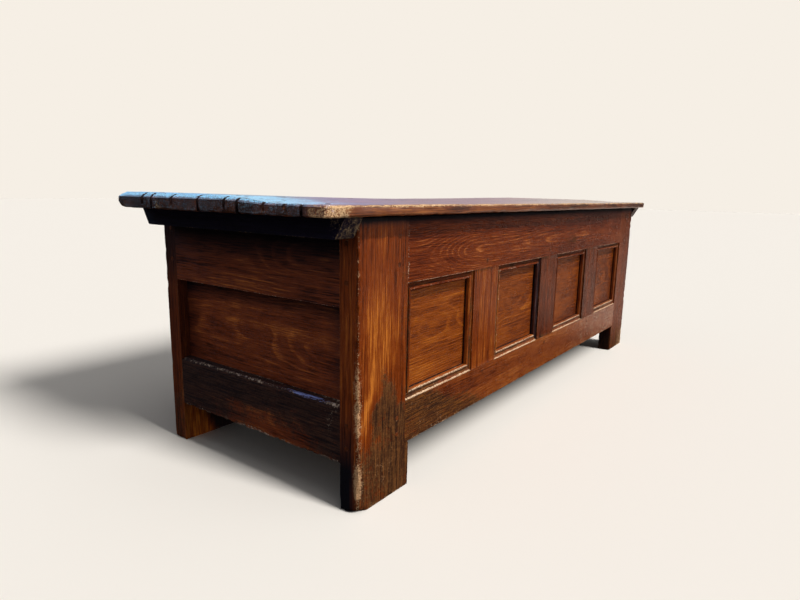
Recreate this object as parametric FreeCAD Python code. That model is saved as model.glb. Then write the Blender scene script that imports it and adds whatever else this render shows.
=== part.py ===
import FreeCAD, Part
import math
import os

# A long, low joined chest with a hinged plank lid.  Millimetres, +Z up, front facing -Y.
# The origin is on the floor, under the middle of the whole chest's outer box.

# ---------------------------------------------------------------- carcase
body_length = 1692.0
body_depth = 600.0
body_height = 565.0
left_stile_width = 148.0
right_stile_width = 138.0
foot_spread = 12.0
stile_thickness = 45.0
muntin_width = 119.0
bay_shares = (0.2545, 0.2545, 0.2455, 0.2455)
long_rail_thickness = 34.0
long_rail_lift = 97.0
long_bottom_rail_height = 94.0
long_top_rail_height = 132.0
end_rail_thickness = 40.0
end_rail_lift = 95.0
end_bottom_rail_height = 116.0
end_top_rail_height = 165.0
worn_arris = 4.0
ledge_round = 6.0
under_chamfer = 2.0
foot_chamfer = 2.5

# ---------------------------------------------------------------- moulding, panels and grooves
moulding_width = 18.0
quirk_depth = 2.5
hollow_width = 10.5
hollow_depth = 6.5
hollow_sag = 1.3
front_panel_recess = 14.0
end_panel_recess = 25.0
groove_width = 8.0
groove_depth = 11.0
panel_thickness = 12.0
panel_bevel = 34.0
panel_fit = 0.2
panel_edge_gap = 1.5

# ---------------------------------------------------------------- mortise and tenon joints
tenon_thickness = 11.0
tenon_shoulder = 14.0
stile_tenon_length = 56.0
muntin_tenon_length = 38.0
end_tenon_length = 32.0
tenon_fit = 0.1
mortise_end_gap = 1.0
peg_radius = 4.5
peg_sides = 6
peg_length = 29.0
end_peg_length = 38.0
peg_inset_share = 0.24

# ---------------------------------------------------------------- floor
floor_board_count = 7
floor_board_thickness = 14.0
floor_lift = 120.0
floor_groove_depth = 9.0
floor_lap = 12.0
floor_fit = 0.2
floor_end_gap = 1.0
floor_notch_gap = 0.5

# ---------------------------------------------------------------- lid and cleats
lid_thickness = 21.0
lid_end_overhang = 104.0
lid_front_overhang = 22.0
lid_seat_gap = 0.3
lid_corner_radius = 24.0
lid_top_bevel = 3.5
lid_under_bevel = 2.5
lid_front_board_width = 252.0
lid_middle_board_width = 210.0
lid_seam_chamfer = 1.0
cup_left_rise = 13.0
cup_right_rise = 8.0
cup_slope_length = 10.0
cup_length = 880.0
cup_front_reach = 124.0
cup_slow_shares = ((0.30, 0.72), (0.60, 0.34))
cup_seam_shares = (0.76, 0.92)
cleat_width = 46.0
cleat_height = 38.0
cleat_slant = 22.0
cleat_front_setback = 10.0
cleat_body_gap = 2.0
cleat_round = 6.0
cleat_peg_length = 48.0
cleat_peg_inset_share = 0.28

# ---------------------------------------------------------------- hinges and nails
hinge_inset = 300.0
hinge_width = 38.0
hinge_plate = 3.0
hinge_knuckle_radius = 7.0
hinge_pin_radius = 3.5
hinge_pin_show = 1.5
hinge_running_fit = 0.05
hinge_knuckle_gap = 0.4
hinge_back_gap = 0.5
hinge_strap_length = 330.0
hinge_strap_tip_width = 20.0
hinge_strap_point = 22.0
hinge_strap_fit = 0.2
hinge_leaf_length = 116.0
leaf_nail_shares = (0.18, 0.48, 0.78)
strap_nail_count = 3
nail_shank = 4.0
nail_straight_share = 0.66
nail_point_share = 0.3
nail_head_width = 11.0
nail_head_height = 2.0
nail_crown_share = 0.35
leaf_nail_length = 26.0
strap_nail_length = 16.0

# ---------------------------------------------------------------- sizes that follow
left_x = -body_length / 2
right_x = body_length / 2
hinge_reach = hinge_back_gap + 2 * hinge_knuckle_radius
front_y = -(body_depth + hinge_reach - lid_front_overhang) / 2
back_y = front_y + body_depth
left_frame_x = left_x + left_stile_width
right_frame_x = right_x - right_stile_width
panels_across = len(bay_shares)
all_bays_width = right_frame_x - left_frame_x - (panels_across - 1) * muntin_width
opening_bottom = long_rail_lift + long_bottom_rail_height
opening_top = body_height - long_top_rail_height
end_opening_bottom = end_rail_lift + end_bottom_rail_height
end_opening_top = body_height - end_top_rail_height
bead_radius = (moulding_width - hollow_width) / 2
tongue_depth = front_panel_recess + groove_width / 2
end_tongue_depth = end_panel_recess + groove_width / 2
lid_under = body_height + lid_seat_gap
lid_top = lid_under + lid_thickness
lid_left = left_x - lid_end_overhang
lid_right = right_x + lid_end_overhang
lid_front = front_y - lid_front_overhang
hinge_y = back_y + hinge_back_gap + hinge_knuckle_radius
hinge_z = body_height + lid_seat_gap / 2


# ---------------------------------------------------------------- small tools
def vec(x, y, z):
    return FreeCAD.Vector(x, y, z)


def block(x0, x1, y0, y1, z0, z1):
    """A rectangular piece of timber between two corners."""
    return Part.makeBox(x1 - x0, y1 - y0, z1 - z0, vec(x0, y0, z0))


def prism(points, sweep):
    """A flat polygon carried along a straight sweep."""
    face = Part.Face(Part.makePolygon(points + [points[0]]))
    return face.extrude(sweep)


def joined(base, extras):
    """One solid from a base and the pieces worked on it."""
    if not extras:
        return base
    return base.fuse(extras).removeSplitter()


def without(base, cutters):
    """The base with every cutter taken away."""
    if not cutters:
        return base
    return base.cut(cutters)


def edges_at(shape, test):
    """The straight edges of a shape whose middle point passes the test."""
    picked = []
    for edge in shape.Edges:
        middle = edge.CenterOfMass
        if test(middle):
            picked.append(edge)
    return picked


def near(a, b):
    return abs(a - b) < 0.01


def save(name, shape):
    """Write one piece, or one group of like pieces, as its own STEP file."""
    shape.exportStep(os.path.join("parts", name + ".step"))


def group(solids):
    return Part.makeCompound(solids)


def mirrored_x(shape):
    return shape.mirror(vec(0, 0, 0), vec(1, 0, 0))


def to_front(shape):
    """A frame piece drawn with its show face at y = 0 goes to the front of the chest."""
    return shape.translated(vec(0, front_y, 0))


def to_back(shape):
    """The same piece turned to face backwards."""
    return shape.mirror(vec(0, 0, 0), vec(0, 1, 0)).translated(vec(0, back_y, 0))


# ---------------------------------------------------------------- pegs
def peg(start, axis, length):
    """A riven, faceted peg that starts flush with the face at start."""
    side_a = vec(0, 0, 1)
    if abs(axis.z) > 0.5:
        side_a = vec(1, 0, 0)
    side_b = axis.cross(side_a)
    corner_radius = peg_radius / math.cos(math.pi / peg_sides)
    points = []
    for step in range(peg_sides):
        angle = (step + 0.5) * 2 * math.pi / peg_sides
        across = side_a * (corner_radius * math.cos(angle))
        along = side_b * (corner_radius * math.sin(angle))
        points.append(start + across + along)
    return prism(points, axis * length)


# ---------------------------------------------------------------- moulded edges
def moulded_strip(start, run, inward, length):
    """The moulding worked along one side of an opening, mitred at both ends.

    start is the corner of the opening at the face, run goes along the side and
    inward goes towards the middle of the opening.  The section is a quirk, a
    hollow and a bead, and then a square drop to the panel.
    """
    def at(u, depth):
        return start + inward * u + vec(0, depth, 0)

    hollow_middle = (quirk_depth + hollow_depth) / 2 + hollow_sag
    bead_middle = (hollow_width + moulding_width) / 2
    hollow = Part.Arc(
        at(0, quirk_depth),
        at(hollow_width / 2, hollow_middle),
        at(hollow_width, hollow_depth))
    bead = Part.Arc(
        at(hollow_width, hollow_depth),
        at(bead_middle, hollow_depth - bead_radius),
        at(moulding_width, hollow_depth))
    rest = Part.makePolygon([
        at(moulding_width, hollow_depth),
        at(moulding_width, long_rail_thickness),
        at(0, long_rail_thickness),
        at(0, quirk_depth)])
    outline = Part.Wire([hollow.toShape(), bead.toShape()] + rest.Edges)
    strip = Part.Face(outline).extrude(run * length)
    mitre = prism(
        [start,
         start + run * length,
         start + run * (length - moulding_width) + inward * moulding_width,
         start + run * moulding_width + inward * moulding_width],
        vec(0, long_rail_thickness, 0))
    return strip.common(mitre)


def bay_edges(index):
    """The left and right sides of one opening in a long frame."""
    left = left_frame_x + index * muntin_width + all_bays_width * sum(bay_shares[:index])
    return left, left + all_bays_width * bay_shares[index]


def bay_height():
    return opening_top - opening_bottom


def strip_under_panel(index):
    left, right = bay_edges(index)
    return moulded_strip(vec(left, 0, opening_bottom), vec(1, 0, 0), vec(0, 0, 1), right - left)


def strip_over_panel(index):
    left, right = bay_edges(index)
    return moulded_strip(vec(left, 0, opening_top), vec(1, 0, 0), vec(0, 0, -1), right - left)


def strip_left_of_panel(index):
    left, _ = bay_edges(index)
    return moulded_strip(vec(left, 0, opening_bottom), vec(0, 0, 1), vec(1, 0, 0), bay_height())


def strip_right_of_panel(index):
    _, right = bay_edges(index)
    return moulded_strip(vec(right, 0, opening_bottom), vec(0, 0, 1), vec(-1, 0, 0), bay_height())


def panel_groove(index, sight):
    """The groove that runs all round one opening; sight is the moulding inside the bay."""
    left, right = bay_edges(index)
    return block(
        left + sight - groove_depth, right - sight + groove_depth,
        front_panel_recess, front_panel_recess + groove_width,
        opening_bottom + sight - groove_depth, opening_top - sight + groove_depth)


# ---------------------------------------------------------------- joints of the long frames
def rail_tenon(side, z0, z1, grow):
    """A rail's tenon in a stile, or with grow the mortise that takes it."""
    shoulder_x = left_frame_x
    if side > 0:
        shoulder_x = right_frame_x
    reach = stile_tenon_length
    if grow > 0:
        reach = stile_tenon_length + mortise_end_gap
    x0, x1 = sorted([shoulder_x, shoulder_x + side * reach])
    half = tenon_thickness / 2 + grow
    return block(
        x0, x1,
        tongue_depth - half, tongue_depth + half,
        z0 + tenon_shoulder - grow, z1 - tenon_shoulder + grow)


def muntin_tenon(index, top, grow):
    """A muntin's tenon in a long rail, or with grow the mortise that takes it."""
    _, left = bay_edges(index)
    reach = muntin_tenon_length
    if grow > 0:
        reach = muntin_tenon_length + mortise_end_gap
    z0, z1 = opening_bottom - reach, opening_bottom
    if top:
        z0, z1 = opening_top, opening_top + reach
    half = tenon_thickness / 2 + grow
    return block(
        left + tenon_shoulder - grow, left + muntin_width - tenon_shoulder + grow,
        tongue_depth - half, tongue_depth + half,
        z0, z1)


def end_tenon(side, z0, z1, grow):
    """An end rail's tenon where it enters the back of a stile, in long-frame coordinates."""
    reach = end_tenon_length
    if grow > 0:
        reach = end_tenon_length + mortise_end_gap
    middle = left_x + end_tongue_depth
    if side > 0:
        middle = right_x - end_tongue_depth
    half = tenon_thickness / 2 + grow
    return block(
        middle - half, middle + half,
        stile_thickness - reach, stile_thickness,
        z0 + tenon_shoulder - grow, z1 - tenon_shoulder + grow)


long_rails = [(long_rail_lift, opening_bottom), (opening_top, body_height)]
end_rails = [(end_rail_lift, end_opening_bottom), (end_opening_top, body_height)]


def peg_heights(z0, z1):
    """Two pegs share the width of a tenon."""
    inset = (z1 - z0 - 2 * tenon_shoulder) * peg_inset_share
    return [z0 + tenon_shoulder + inset, z1 - tenon_shoulder - inset]


def long_frame_pegs():
    """The pegs of one long frame, drawn with the show face at y = 0."""
    pegs = []
    inward = vec(0, 1, 0)
    for z0, z1 in long_rails:
        for height in peg_heights(z0, z1):
            for x in (left_frame_x - stile_tenon_length / 2, right_frame_x + stile_tenon_length / 2):
                pegs.append(peg(vec(x, 0, height), inward, peg_length))
    for index in range(panels_across - 1):
        _, left = bay_edges(index)
        middle = left + muntin_width / 2
        pegs.append(peg(vec(middle, 0, opening_bottom - muntin_tenon_length / 2), inward, peg_length))
        pegs.append(peg(vec(middle, 0, opening_top + muntin_tenon_length / 2), inward, peg_length))
    return pegs


def end_frame_pegs(side):
    """The pegs driven through a stile's edge into the end rails, in long-frame coordinates."""
    start_x = left_x
    if side > 0:
        start_x = right_x
    pegs = []
    for z0, z1 in end_rails:
        for height in peg_heights(z0, z1):
            start = vec(start_x, stile_thickness - end_tenon_length / 2, height)
            pegs.append(peg(start, vec(-side, 0, 0), end_peg_length))
    return pegs


# ---------------------------------------------------------------- pieces of the long frames
def stile(side, moulded):
    """A corner post that runs down as a foot, a little wider there.  side is -1 left, +1 right."""
    x0, x1, corner_x, bay = left_x, left_frame_x, left_x, 0
    foot_x0, foot_x1 = left_frame_x, left_frame_x + foot_spread
    if side > 0:
        x0, x1, corner_x, bay = right_frame_x, right_x, right_x, panels_across - 1
        foot_x0, foot_x1 = right_frame_x - foot_spread, right_frame_x
    post = block(x0, x1, 0, stile_thickness, 0, body_height)
    worn = edges_at(post, lambda m: near(m.y, 0) and (near(m.x, corner_x) or near(m.z, body_height)))
    post = post.makeFillet(worn_arris, worn)
    post = joined(post, [block(foot_x0, foot_x1, 0, stile_thickness, 0, long_rail_lift)])
    front_toe = prism(
        [vec(left_x, 0, 0), vec(left_x, foot_chamfer, 0), vec(left_x, 0, foot_chamfer)],
        vec(body_length, 0, 0))
    side_toe = prism(
        [vec(corner_x, 0, 0), vec(corner_x - side * foot_chamfer, 0, 0), vec(corner_x, 0, foot_chamfer)],
        vec(0, stile_thickness, 0))
    post = without(post, [front_toe, side_toe])
    if moulded:
        post = joined(post, [strip_left_of_panel(bay) if side < 0 else strip_right_of_panel(bay)])
    cutters = []
    for z0, z1 in long_rails:
        cutters.append(rail_tenon(side, z0, z1, tenon_fit))
    for z0, z1 in end_rails:
        cutters.append(end_tenon(side, z0, z1, tenon_fit))
    cutters.append(panel_groove(bay, sight_of(moulded)))
    cutters.append(end_panel_groove(side))
    cutters += long_frame_pegs()
    cutters += end_frame_pegs(side)
    return without(post, cutters)


def sight_of(moulded):
    """How far the frame's moulding narrows an opening."""
    if moulded:
        return moulding_width
    return 0.0


def end_panel_groove(side):
    """The upright groove in a stile's back that takes the edge of an end panel."""
    near_x = end_panel_recess
    far_x = end_panel_recess + groove_width
    x0, x1 = left_x + near_x, left_x + far_x
    if side > 0:
        x0, x1 = right_x - far_x, right_x - near_x
    return block(
        x0, x1,
        stile_thickness - groove_depth, stile_thickness,
        end_opening_bottom - groove_depth, end_opening_top + groove_depth)


def long_rail(top, moulded):
    """The rail over or under the panels, tenoned into both stiles."""
    z0, z1 = long_rails[1] if top else long_rails[0]
    rail = block(left_frame_x, right_frame_x, 0, long_rail_thickness, z0, z1)
    if top:
        rail = rail.makeFillet(worn_arris, edges_at(rail, lambda m: near(m.z, z1) and near(m.y, 0)))
    else:
        rail = rail.makeChamfer(under_chamfer, edges_at(rail, lambda m: near(m.z, z0) and near(m.y, 0)))
    extras = [rail_tenon(-1, z0, z1, 0), rail_tenon(1, z0, z1, 0)]
    if moulded:
        for index in range(panels_across):
            extras.append(strip_over_panel(index) if top else strip_under_panel(index))
    rail = joined(rail, extras)
    cutters = []
    for index in range(panels_across):
        cutters.append(panel_groove(index, sight_of(moulded)))
    for index in range(panels_across - 1):
        cutters.append(muntin_tenon(index, top, tenon_fit))
    if not top:
        cutters.append(block(
            left_frame_x, right_frame_x,
            long_rail_thickness - floor_groove_depth, long_rail_thickness,
            floor_lift - floor_fit, floor_lift + floor_board_thickness + floor_fit))
    cutters += long_frame_pegs()
    return without(rail, cutters)


def muntin(index, moulded):
    """The upright between two panels, tenoned into both long rails."""
    _, left = bay_edges(index)
    upright = block(left, left + muntin_width, 0, long_rail_thickness, opening_bottom, opening_top)
    extras = [muntin_tenon(index, False, 0), muntin_tenon(index, True, 0)]
    if moulded:
        extras.append(strip_right_of_panel(index))
        extras.append(strip_left_of_panel(index + 1))
    upright = joined(upright, extras)
    cutters = [panel_groove(index, sight_of(moulded)), panel_groove(index + 1, sight_of(moulded))]
    cutters += long_frame_pegs()
    return without(upright, cutters)


# ---------------------------------------------------------------- panels
def feathered_panel(across0, across1, z0, z1, depth):
    """A board with a flat show face, its back bevelled to a thin tongue that slips into the grooves.

    It is drawn with its show face at y = depth and its width along X.
    """
    face = depth + panel_fit
    tongue = depth + groove_width - panel_fit
    back = face + panel_thickness

    def section(low, high, place):
        return [
            place(low, face), place(high, face),
            place(high, tongue), place(high - groove_depth, tongue),
            place(high - panel_bevel, back), place(low + panel_bevel, back),
            place(low + groove_depth, tongue), place(low, tongue)]

    upright = prism(section(z0, z1, lambda z, y: vec(across0, y, z)), vec(across1 - across0, 0, 0))
    level = prism(section(across0, across1, lambda x, y: vec(x, y, z0)), vec(0, 0, z1 - z0))
    return upright.common(level)


def long_panel(index, moulded):
    left, right = bay_edges(index)
    sight = sight_of(moulded)
    reach = groove_depth - panel_edge_gap
    return feathered_panel(
        left + sight - reach, right - sight + reach,
        opening_bottom + sight - groove_depth, opening_top - sight + reach,
        front_panel_recess)


def left_end_panel():
    """The panel of the left end, turned so that its show face looks towards -X."""
    reach = groove_depth - panel_edge_gap
    flat = feathered_panel(
        front_y + stile_thickness - reach, back_y - stile_thickness + reach,
        end_opening_bottom - groove_depth, end_opening_top + reach,
        end_panel_recess)
    flat.rotate(vec(0, 0, 0), vec(0, 0, 1), -90)
    turned = flat.mirror(vec(0, 0, 0), vec(0, 1, 0))
    return turned.translated(vec(left_x, 0, 0))


# ---------------------------------------------------------------- end rails
def left_end_rail(top):
    """A rail of the left end, flush with the stiles' edges and set over a deep panel recess."""
    z0, z1 = end_rails[1] if top else end_rails[0]
    y0 = front_y + stile_thickness
    y1 = back_y - stile_thickness
    rail = block(left_x, left_x + end_rail_thickness, y0, y1, z0, z1)
    if top:
        crown = edges_at(rail, lambda m: near(m.x, left_x) and near(m.z, z1))
        rail = rail.makeFillet(worn_arris, crown)
    else:
        ledge = edges_at(rail, lambda m: near(m.x, left_x) and near(m.z, z1))
        rail = rail.makeFillet(ledge_round, ledge)
        under = edges_at(rail, lambda m: near(m.x, left_x) and near(m.z, z0))
        rail = rail.makeChamfer(under_chamfer, under)
    rail = joined(rail, [to_front(end_tenon(-1, z0, z1, 0)), to_back(end_tenon(-1, z0, z1, 0))])
    groove_z0, groove_z1 = z1 - groove_depth, z1
    if top:
        groove_z0, groove_z1 = z0, z0 + groove_depth
    groove_x = left_x + end_panel_recess
    cutters = [block(groove_x, groove_x + groove_width, y0, y1, groove_z0, groove_z1)]
    if not top:
        inner_x = left_x + end_rail_thickness
        cutters.append(block(
            inner_x - floor_groove_depth, inner_x, y0, y1,
            floor_lift - floor_fit, floor_lift + floor_board_thickness + floor_fit))
    for one in end_frame_pegs(-1):
        cutters.append(to_front(one))
        cutters.append(to_back(one))
    return without(rail, cutters)


# ---------------------------------------------------------------- floor
def floor_board(index):
    """One board of the floor, running from front to back and half-lapped to its neighbours."""
    reach = floor_groove_depth - floor_end_gap
    start = left_x + end_rail_thickness - reach
    pitch = (body_length - 2 * end_rail_thickness + 2 * reach) / floor_board_count
    y0 = front_y + long_rail_thickness - reach
    y1 = back_y - long_rail_thickness + reach
    middle_z = floor_lift + floor_board_thickness / 2
    top_z = floor_lift + floor_board_thickness
    x0 = start + index * pitch
    x1 = start + (index + 1) * pitch
    first = index == 0
    last = index == floor_board_count - 1
    lower_x0 = x0 if first else x0 - floor_lap
    lower_x1 = x1 if last else x1 - floor_lap - floor_fit
    upper_x1 = x1 if last else x1 - floor_fit
    lower = block(lower_x0, lower_x1, y0, y1, floor_lift, middle_z)
    upper = block(x0, upper_x1, y0, y1, middle_z, top_z)
    board = joined(lower, [upper])
    notches = []
    post_ends = [
        (left_x, left_frame_x + floor_notch_gap),
        (right_frame_x - floor_notch_gap, right_x)]
    for post_x0, post_x1 in post_ends:
        front_post = block(
            post_x0, post_x1, front_y, front_y + stile_thickness + floor_notch_gap, 0, body_height)
        back_post = block(
            post_x0, post_x1, back_y - stile_thickness - floor_notch_gap, back_y, 0, body_height)
        notches.append(front_post)
        notches.append(back_post)
    return without(board, notches)


# ---------------------------------------------------------------- lid
lid_seam_1 = lid_front + lid_front_board_width
lid_seam_2 = lid_seam_1 + lid_middle_board_width


def cup_along():
    """How the raised wood runs in from an end of the lid: distances from the end, with shares of the rise."""
    stations = [(lid_top_bevel, 0.0), (lid_top_bevel + cup_slope_length, 1.0)]
    for length_share, rise_share in cup_slow_shares:
        stations.append((cup_length * length_share, rise_share))
    return stations + [(cup_length, 0.0)]


def cup_across():
    """How it runs from the front board to the back edge: places in Y, with shares of the rise."""
    near_share, far_share = cup_seam_shares
    return [(lid_seam_1 - cup_front_reach, 0.0), (lid_seam_1, near_share), (lid_seam_2, far_share), (back_y, 1.0)]


def left_cup(rise):
    """The wood that stands above the flat top where the boards have cupped towards the left end."""
    columns, rows = cup_along(), cup_across()

    def point(column, row):
        distance, along_share = columns[column]
        y, across_share = rows[row]
        return vec(lid_left + distance, y, lid_top + rise * along_share * across_share)

    last_column, last_row = len(columns) - 1, len(rows) - 1
    outlines = []
    for column in range(last_column):
        for row in range(last_row):
            a, b = point(column, row), point(column + 1, row)
            c, d = point(column + 1, row + 1), point(column, row + 1)
            if column + 1 < last_column:
                outlines += [[a, b, c], [a, c, d]]
            else:
                outlines += [[a, b, d], [b, c, d]]
    front_side = [point(column, 0) for column in range(last_column + 1)]
    inner_side = [point(last_column, row) for row in range(1, last_row + 1)]
    outer_side = [point(0, row) for row in range(last_row, 0, -1)]
    outlines.append(front_side + inner_side + outer_side)
    outlines.append([point(column, last_row) for column in range(last_column + 1)])
    shell = Part.makeShell([Part.Face(Part.makePolygon(ring + [ring[0]])) for ring in outlines])
    wood = Part.makeSolid(shell)
    if wood.Volume < 0:
        wood.reverse()
    return wood


def whole_lid():
    """The lid before it is ripped into boards: a plank top with worn edges, cupped towards both ends."""
    plank = block(lid_left, lid_right, lid_front, back_y, lid_under, lid_top)
    corners = edges_at(plank, lambda m: near(m.y, lid_front) and near(m.z, (lid_under + lid_top) / 2))
    plank = plank.makeFillet(lid_corner_radius, corners)
    upper = edges_at(plank, lambda m: near(m.z, lid_top) and not near(m.y, back_y))
    plank = plank.makeChamfer(lid_top_bevel, upper)
    lower = edges_at(plank, lambda m: near(m.z, lid_under) and not near(m.y, back_y))
    plank = plank.makeChamfer(lid_under_bevel, lower)
    return joined(plank, [left_cup(cup_left_rise), mirrored_x(left_cup(cup_right_rise))])


def seam_chamfer(seam_y):
    """A small V along the flat top of a joint between two lid boards."""
    x0 = lid_left + cup_length
    x1 = lid_right - cup_length
    return prism(
        [vec(x0, seam_y - lid_seam_chamfer, lid_top),
         vec(x0, seam_y + lid_seam_chamfer, lid_top),
         vec(x0, seam_y, lid_top - lid_seam_chamfer)],
        vec(x1 - x0, 0, 0))


def lid_board(plank, y0, y1, cutters):
    board = plank.common(block(lid_left, lid_right, y0, y1, lid_under, lid_top + cup_left_rise))
    return without(board, cutters)


def left_cleat_range():
    """The outer and inner sides of the left cleat."""
    inner = left_x - cleat_body_gap
    return inner - cleat_width, inner


def left_cleat():
    """A batten under the lid's left end, its ends cut on a slant."""
    x0, x1 = left_cleat_range()
    y0 = lid_front + cleat_front_setback
    y1 = back_y
    low = lid_under - cleat_height
    batten = prism(
        [vec(x0, y0, lid_under), vec(x0, y1, lid_under),
         vec(x0, y1 - cleat_slant, low), vec(x0, y0 + cleat_slant, low)],
        vec(x1 - x0, 0, 0))
    blunt = edges_at(batten, lambda m: near(m.z, low) and near(m.x, (x0 + x1) / 2))
    batten = batten.makeFillet(cleat_round, blunt)
    return without(batten, left_cleat_pegs())


def left_cleat_pegs():
    """Two pegs through each lid board into the left cleat, as they are before they are cut off flush."""
    x0, x1 = left_cleat_range()
    start_z = lid_top + cup_left_rise
    length = cleat_peg_length + cup_left_rise
    pegs = []
    for low_y, high_y in [(lid_front, lid_seam_1), (lid_seam_1, lid_seam_2), (lid_seam_2, back_y)]:
        inset = (high_y - low_y) * cleat_peg_inset_share
        for y in (low_y + inset, high_y - inset):
            pegs.append(peg(vec((x0 + x1) / 2, y, start_z), vec(0, 0, -1), length))
    return pegs


def cut_flush(pegs, plank):
    """The pegs without what stands out above the lid."""
    above = block(lid_left, lid_right, lid_front, back_y, lid_top - lid_top_bevel, lid_top + cup_left_rise)
    return [one.cut(above.cut(plank)) for one in pegs]


# ---------------------------------------------------------------- hinges
def hinge_centre(side):
    return side * (body_length / 2 - hinge_inset)


def knuckle(x0, x1):
    """A rolled eye round the hinge pin."""
    length = x1 - x0
    start = vec(x0, hinge_y, hinge_z)
    return Part.makeCylinder(hinge_knuckle_radius, length, start, vec(1, 0, 0))


def pin_bore(centre):
    """The hole through all the eyes of one hinge."""
    start = vec(centre - hinge_width / 2, hinge_y, hinge_z)
    return Part.makeCylinder(hinge_pin_radius + hinge_running_fit, hinge_width, start, vec(1, 0, 0))


def eye_length():
    return (hinge_width - 2 * hinge_knuckle_gap) / 3


def square_taper(start, direction, half0, half1, length):
    """A four-sided bar that goes from one square to another along direction."""
    side_a = vec(1, 0, 0)
    side_b = direction.cross(side_a)
    rings = []
    for centre, half in ((start, half0), (start + direction * length, half1)):
        ring = []
        for a, b in ((1, 1), (-1, 1), (-1, -1), (1, -1)):
            ring.append(centre + side_a * (a * half) + side_b * (b * half))
        rings.append(ring)
    near_ring, far_ring = rings
    faces = [near_ring, far_ring]
    for step in range(4):
        after = (step + 1) % 4
        faces.append([near_ring[step], near_ring[after], far_ring[after], far_ring[step]])
    shell = Part.makeShell([Part.Face(Part.makePolygon(ring + [ring[0]])) for ring in faces])
    bar = Part.makeSolid(shell)
    if bar.Volume < 0:
        bar.reverse()
    return bar


def shank(start, direction, length):
    """A square nail shank, straight for most of its length and then drawn to a blunt point."""
    half = nail_shank / 2
    straight = length * nail_straight_share
    upper = square_taper(start, direction, half, half, straight)
    bend = start + direction * straight
    lower = square_taper(bend, direction, half, half * nail_point_share, length - straight)
    return joined(upper, [lower])


def nail(seat, direction, length):
    """A wrought nail with a low faceted head that stands on the iron at seat."""
    half = nail_head_width / 2
    head = square_taper(seat, direction * -1, half, half * nail_crown_share, nail_head_height)
    return joined(head, [shank(seat, direction, length)])


def leaf_nail_spots(centre):
    """Where the nails of a hinge leaf enter the back rail."""
    _, bottom = leaf_plate_range()
    spots = []
    for share, side in zip(leaf_nail_shares, (0, -1, 1)):
        x = centre + side * hinge_width / 4
        spots.append(vec(x, back_y + hinge_plate, bottom + share * hinge_leaf_length))
    return spots


def strap_nail_spots(centre):
    """Where the nails of a hinge strap enter the lid, clear of the back rail."""
    first = back_y - stile_thickness - nail_head_width
    last = back_y - hinge_strap_length + nail_head_width
    spots = []
    pitch = (last - first) / (strap_nail_count - 1)
    for step in range(strap_nail_count):
        spots.append(vec(centre, first + pitch * step, lid_under))
    return spots


def leaf_plate_range():
    """The top and bottom of a hinge leaf's plate."""
    top = hinge_z - hinge_knuckle_radius - hinge_back_gap
    return top, top - hinge_leaf_length


def hinge_leaf(centre):
    """The fixed half: a plate on the outside of the back rail with two eyes."""
    half = hinge_width / 2
    top, bottom = leaf_plate_range()
    plate = prism(
        [vec(centre - half, back_y, top), vec(centre + half, back_y, top),
         vec(centre + half, back_y, bottom + half), vec(centre + half / 2, back_y, bottom),
         vec(centre - half / 2, back_y, bottom), vec(centre - half, back_y, bottom + half)],
        vec(0, hinge_plate, 0))
    parts = []
    eye = eye_length()
    for x0 in (centre - half, centre + half - eye):
        parts.append(block(x0, x0 + eye, back_y, back_y + hinge_plate, top - hinge_plate, hinge_z))
        parts.append(knuckle(x0, x0 + eye))
    leaf = joined(plate, parts)
    return without(leaf, [pin_bore(centre)] + leaf_nail_holes(centre))


def leaf_nail_holes(centre):
    return [shank(spot, vec(0, -1, 0), leaf_nail_length) for spot in leaf_nail_spots(centre)]


def strap_nail_holes(centre):
    return [shank(spot, vec(0, 0, 1), strap_nail_length) for spot in strap_nail_spots(centre)]


def strap_outline(centre, grow):
    """The strap's plan: a tapering bar drawn out to a spear point."""
    root = hinge_width / 2 + grow
    tip = hinge_strap_tip_width / 2 + grow
    back_edge = back_y - hinge_back_gap
    front_edge = back_y - hinge_strap_length
    z = lid_under
    points = [
        vec(centre - tip, front_edge, z), vec(centre - root, back_edge, z),
        vec(centre + root, back_edge, z), vec(centre + tip, front_edge, z),
        vec(centre, front_edge - hinge_strap_point - grow, z)]
    return Part.Face(Part.makePolygon(points + [points[0]]))


def strap_seat(centre):
    """The shallow gain in the lid's underside that takes the strap."""
    gain = strap_outline(centre, hinge_strap_fit).extrude(vec(0, 0, hinge_plate))
    half = hinge_width / 2 + hinge_strap_fit
    to_edge = block(
        centre - half, centre + half, back_y - hinge_plate, back_y,
        lid_under, lid_under + hinge_plate)
    return gain.fuse(to_edge)


def hinge_strap(centre):
    """The moving half: a strap under the lid with one eye between the leaf's two."""
    bar = strap_outline(centre, 0).extrude(vec(0, 0, hinge_plate))
    eye = eye_length() - hinge_knuckle_gap
    x0 = centre - eye / 2
    tongue = block(
        x0, x0 + eye, back_y - hinge_plate, hinge_y, lid_under, lid_under + hinge_plate)
    strap = joined(bar, [tongue, knuckle(x0, x0 + eye)])
    return without(strap, [pin_bore(centre)] + strap_nail_holes(centre))


def hinge_pin(centre):
    """The pin, a plain rod that shows a little at each end of the eyes."""
    half = hinge_width / 2 + hinge_pin_show
    return Part.makeCylinder(
        hinge_pin_radius, 2 * half, vec(centre - half, hinge_y, hinge_z), vec(1, 0, 0))


# ---------------------------------------------------------------- make every piece
def make_long_frame(prefix, moulded, place, top_rail_holes):
    save(prefix + "_left_stile", place(stile(-1, moulded)))
    save(prefix + "_right_stile", place(stile(1, moulded)))
    save(prefix + "_bottom_rail", place(long_rail(False, moulded)))
    save(prefix + "_top_rail", without(place(long_rail(True, moulded)), top_rail_holes))
    for index in range(panels_across - 1):
        save("%s_muntin_%d" % (prefix, index + 1), place(muntin(index, moulded)))
    for index in range(panels_across):
        save("%s_panel_%d" % (prefix, index + 1), place(long_panel(index, moulded)))
    save(prefix + "_frame_pegs", place(group(long_frame_pegs())))


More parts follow.
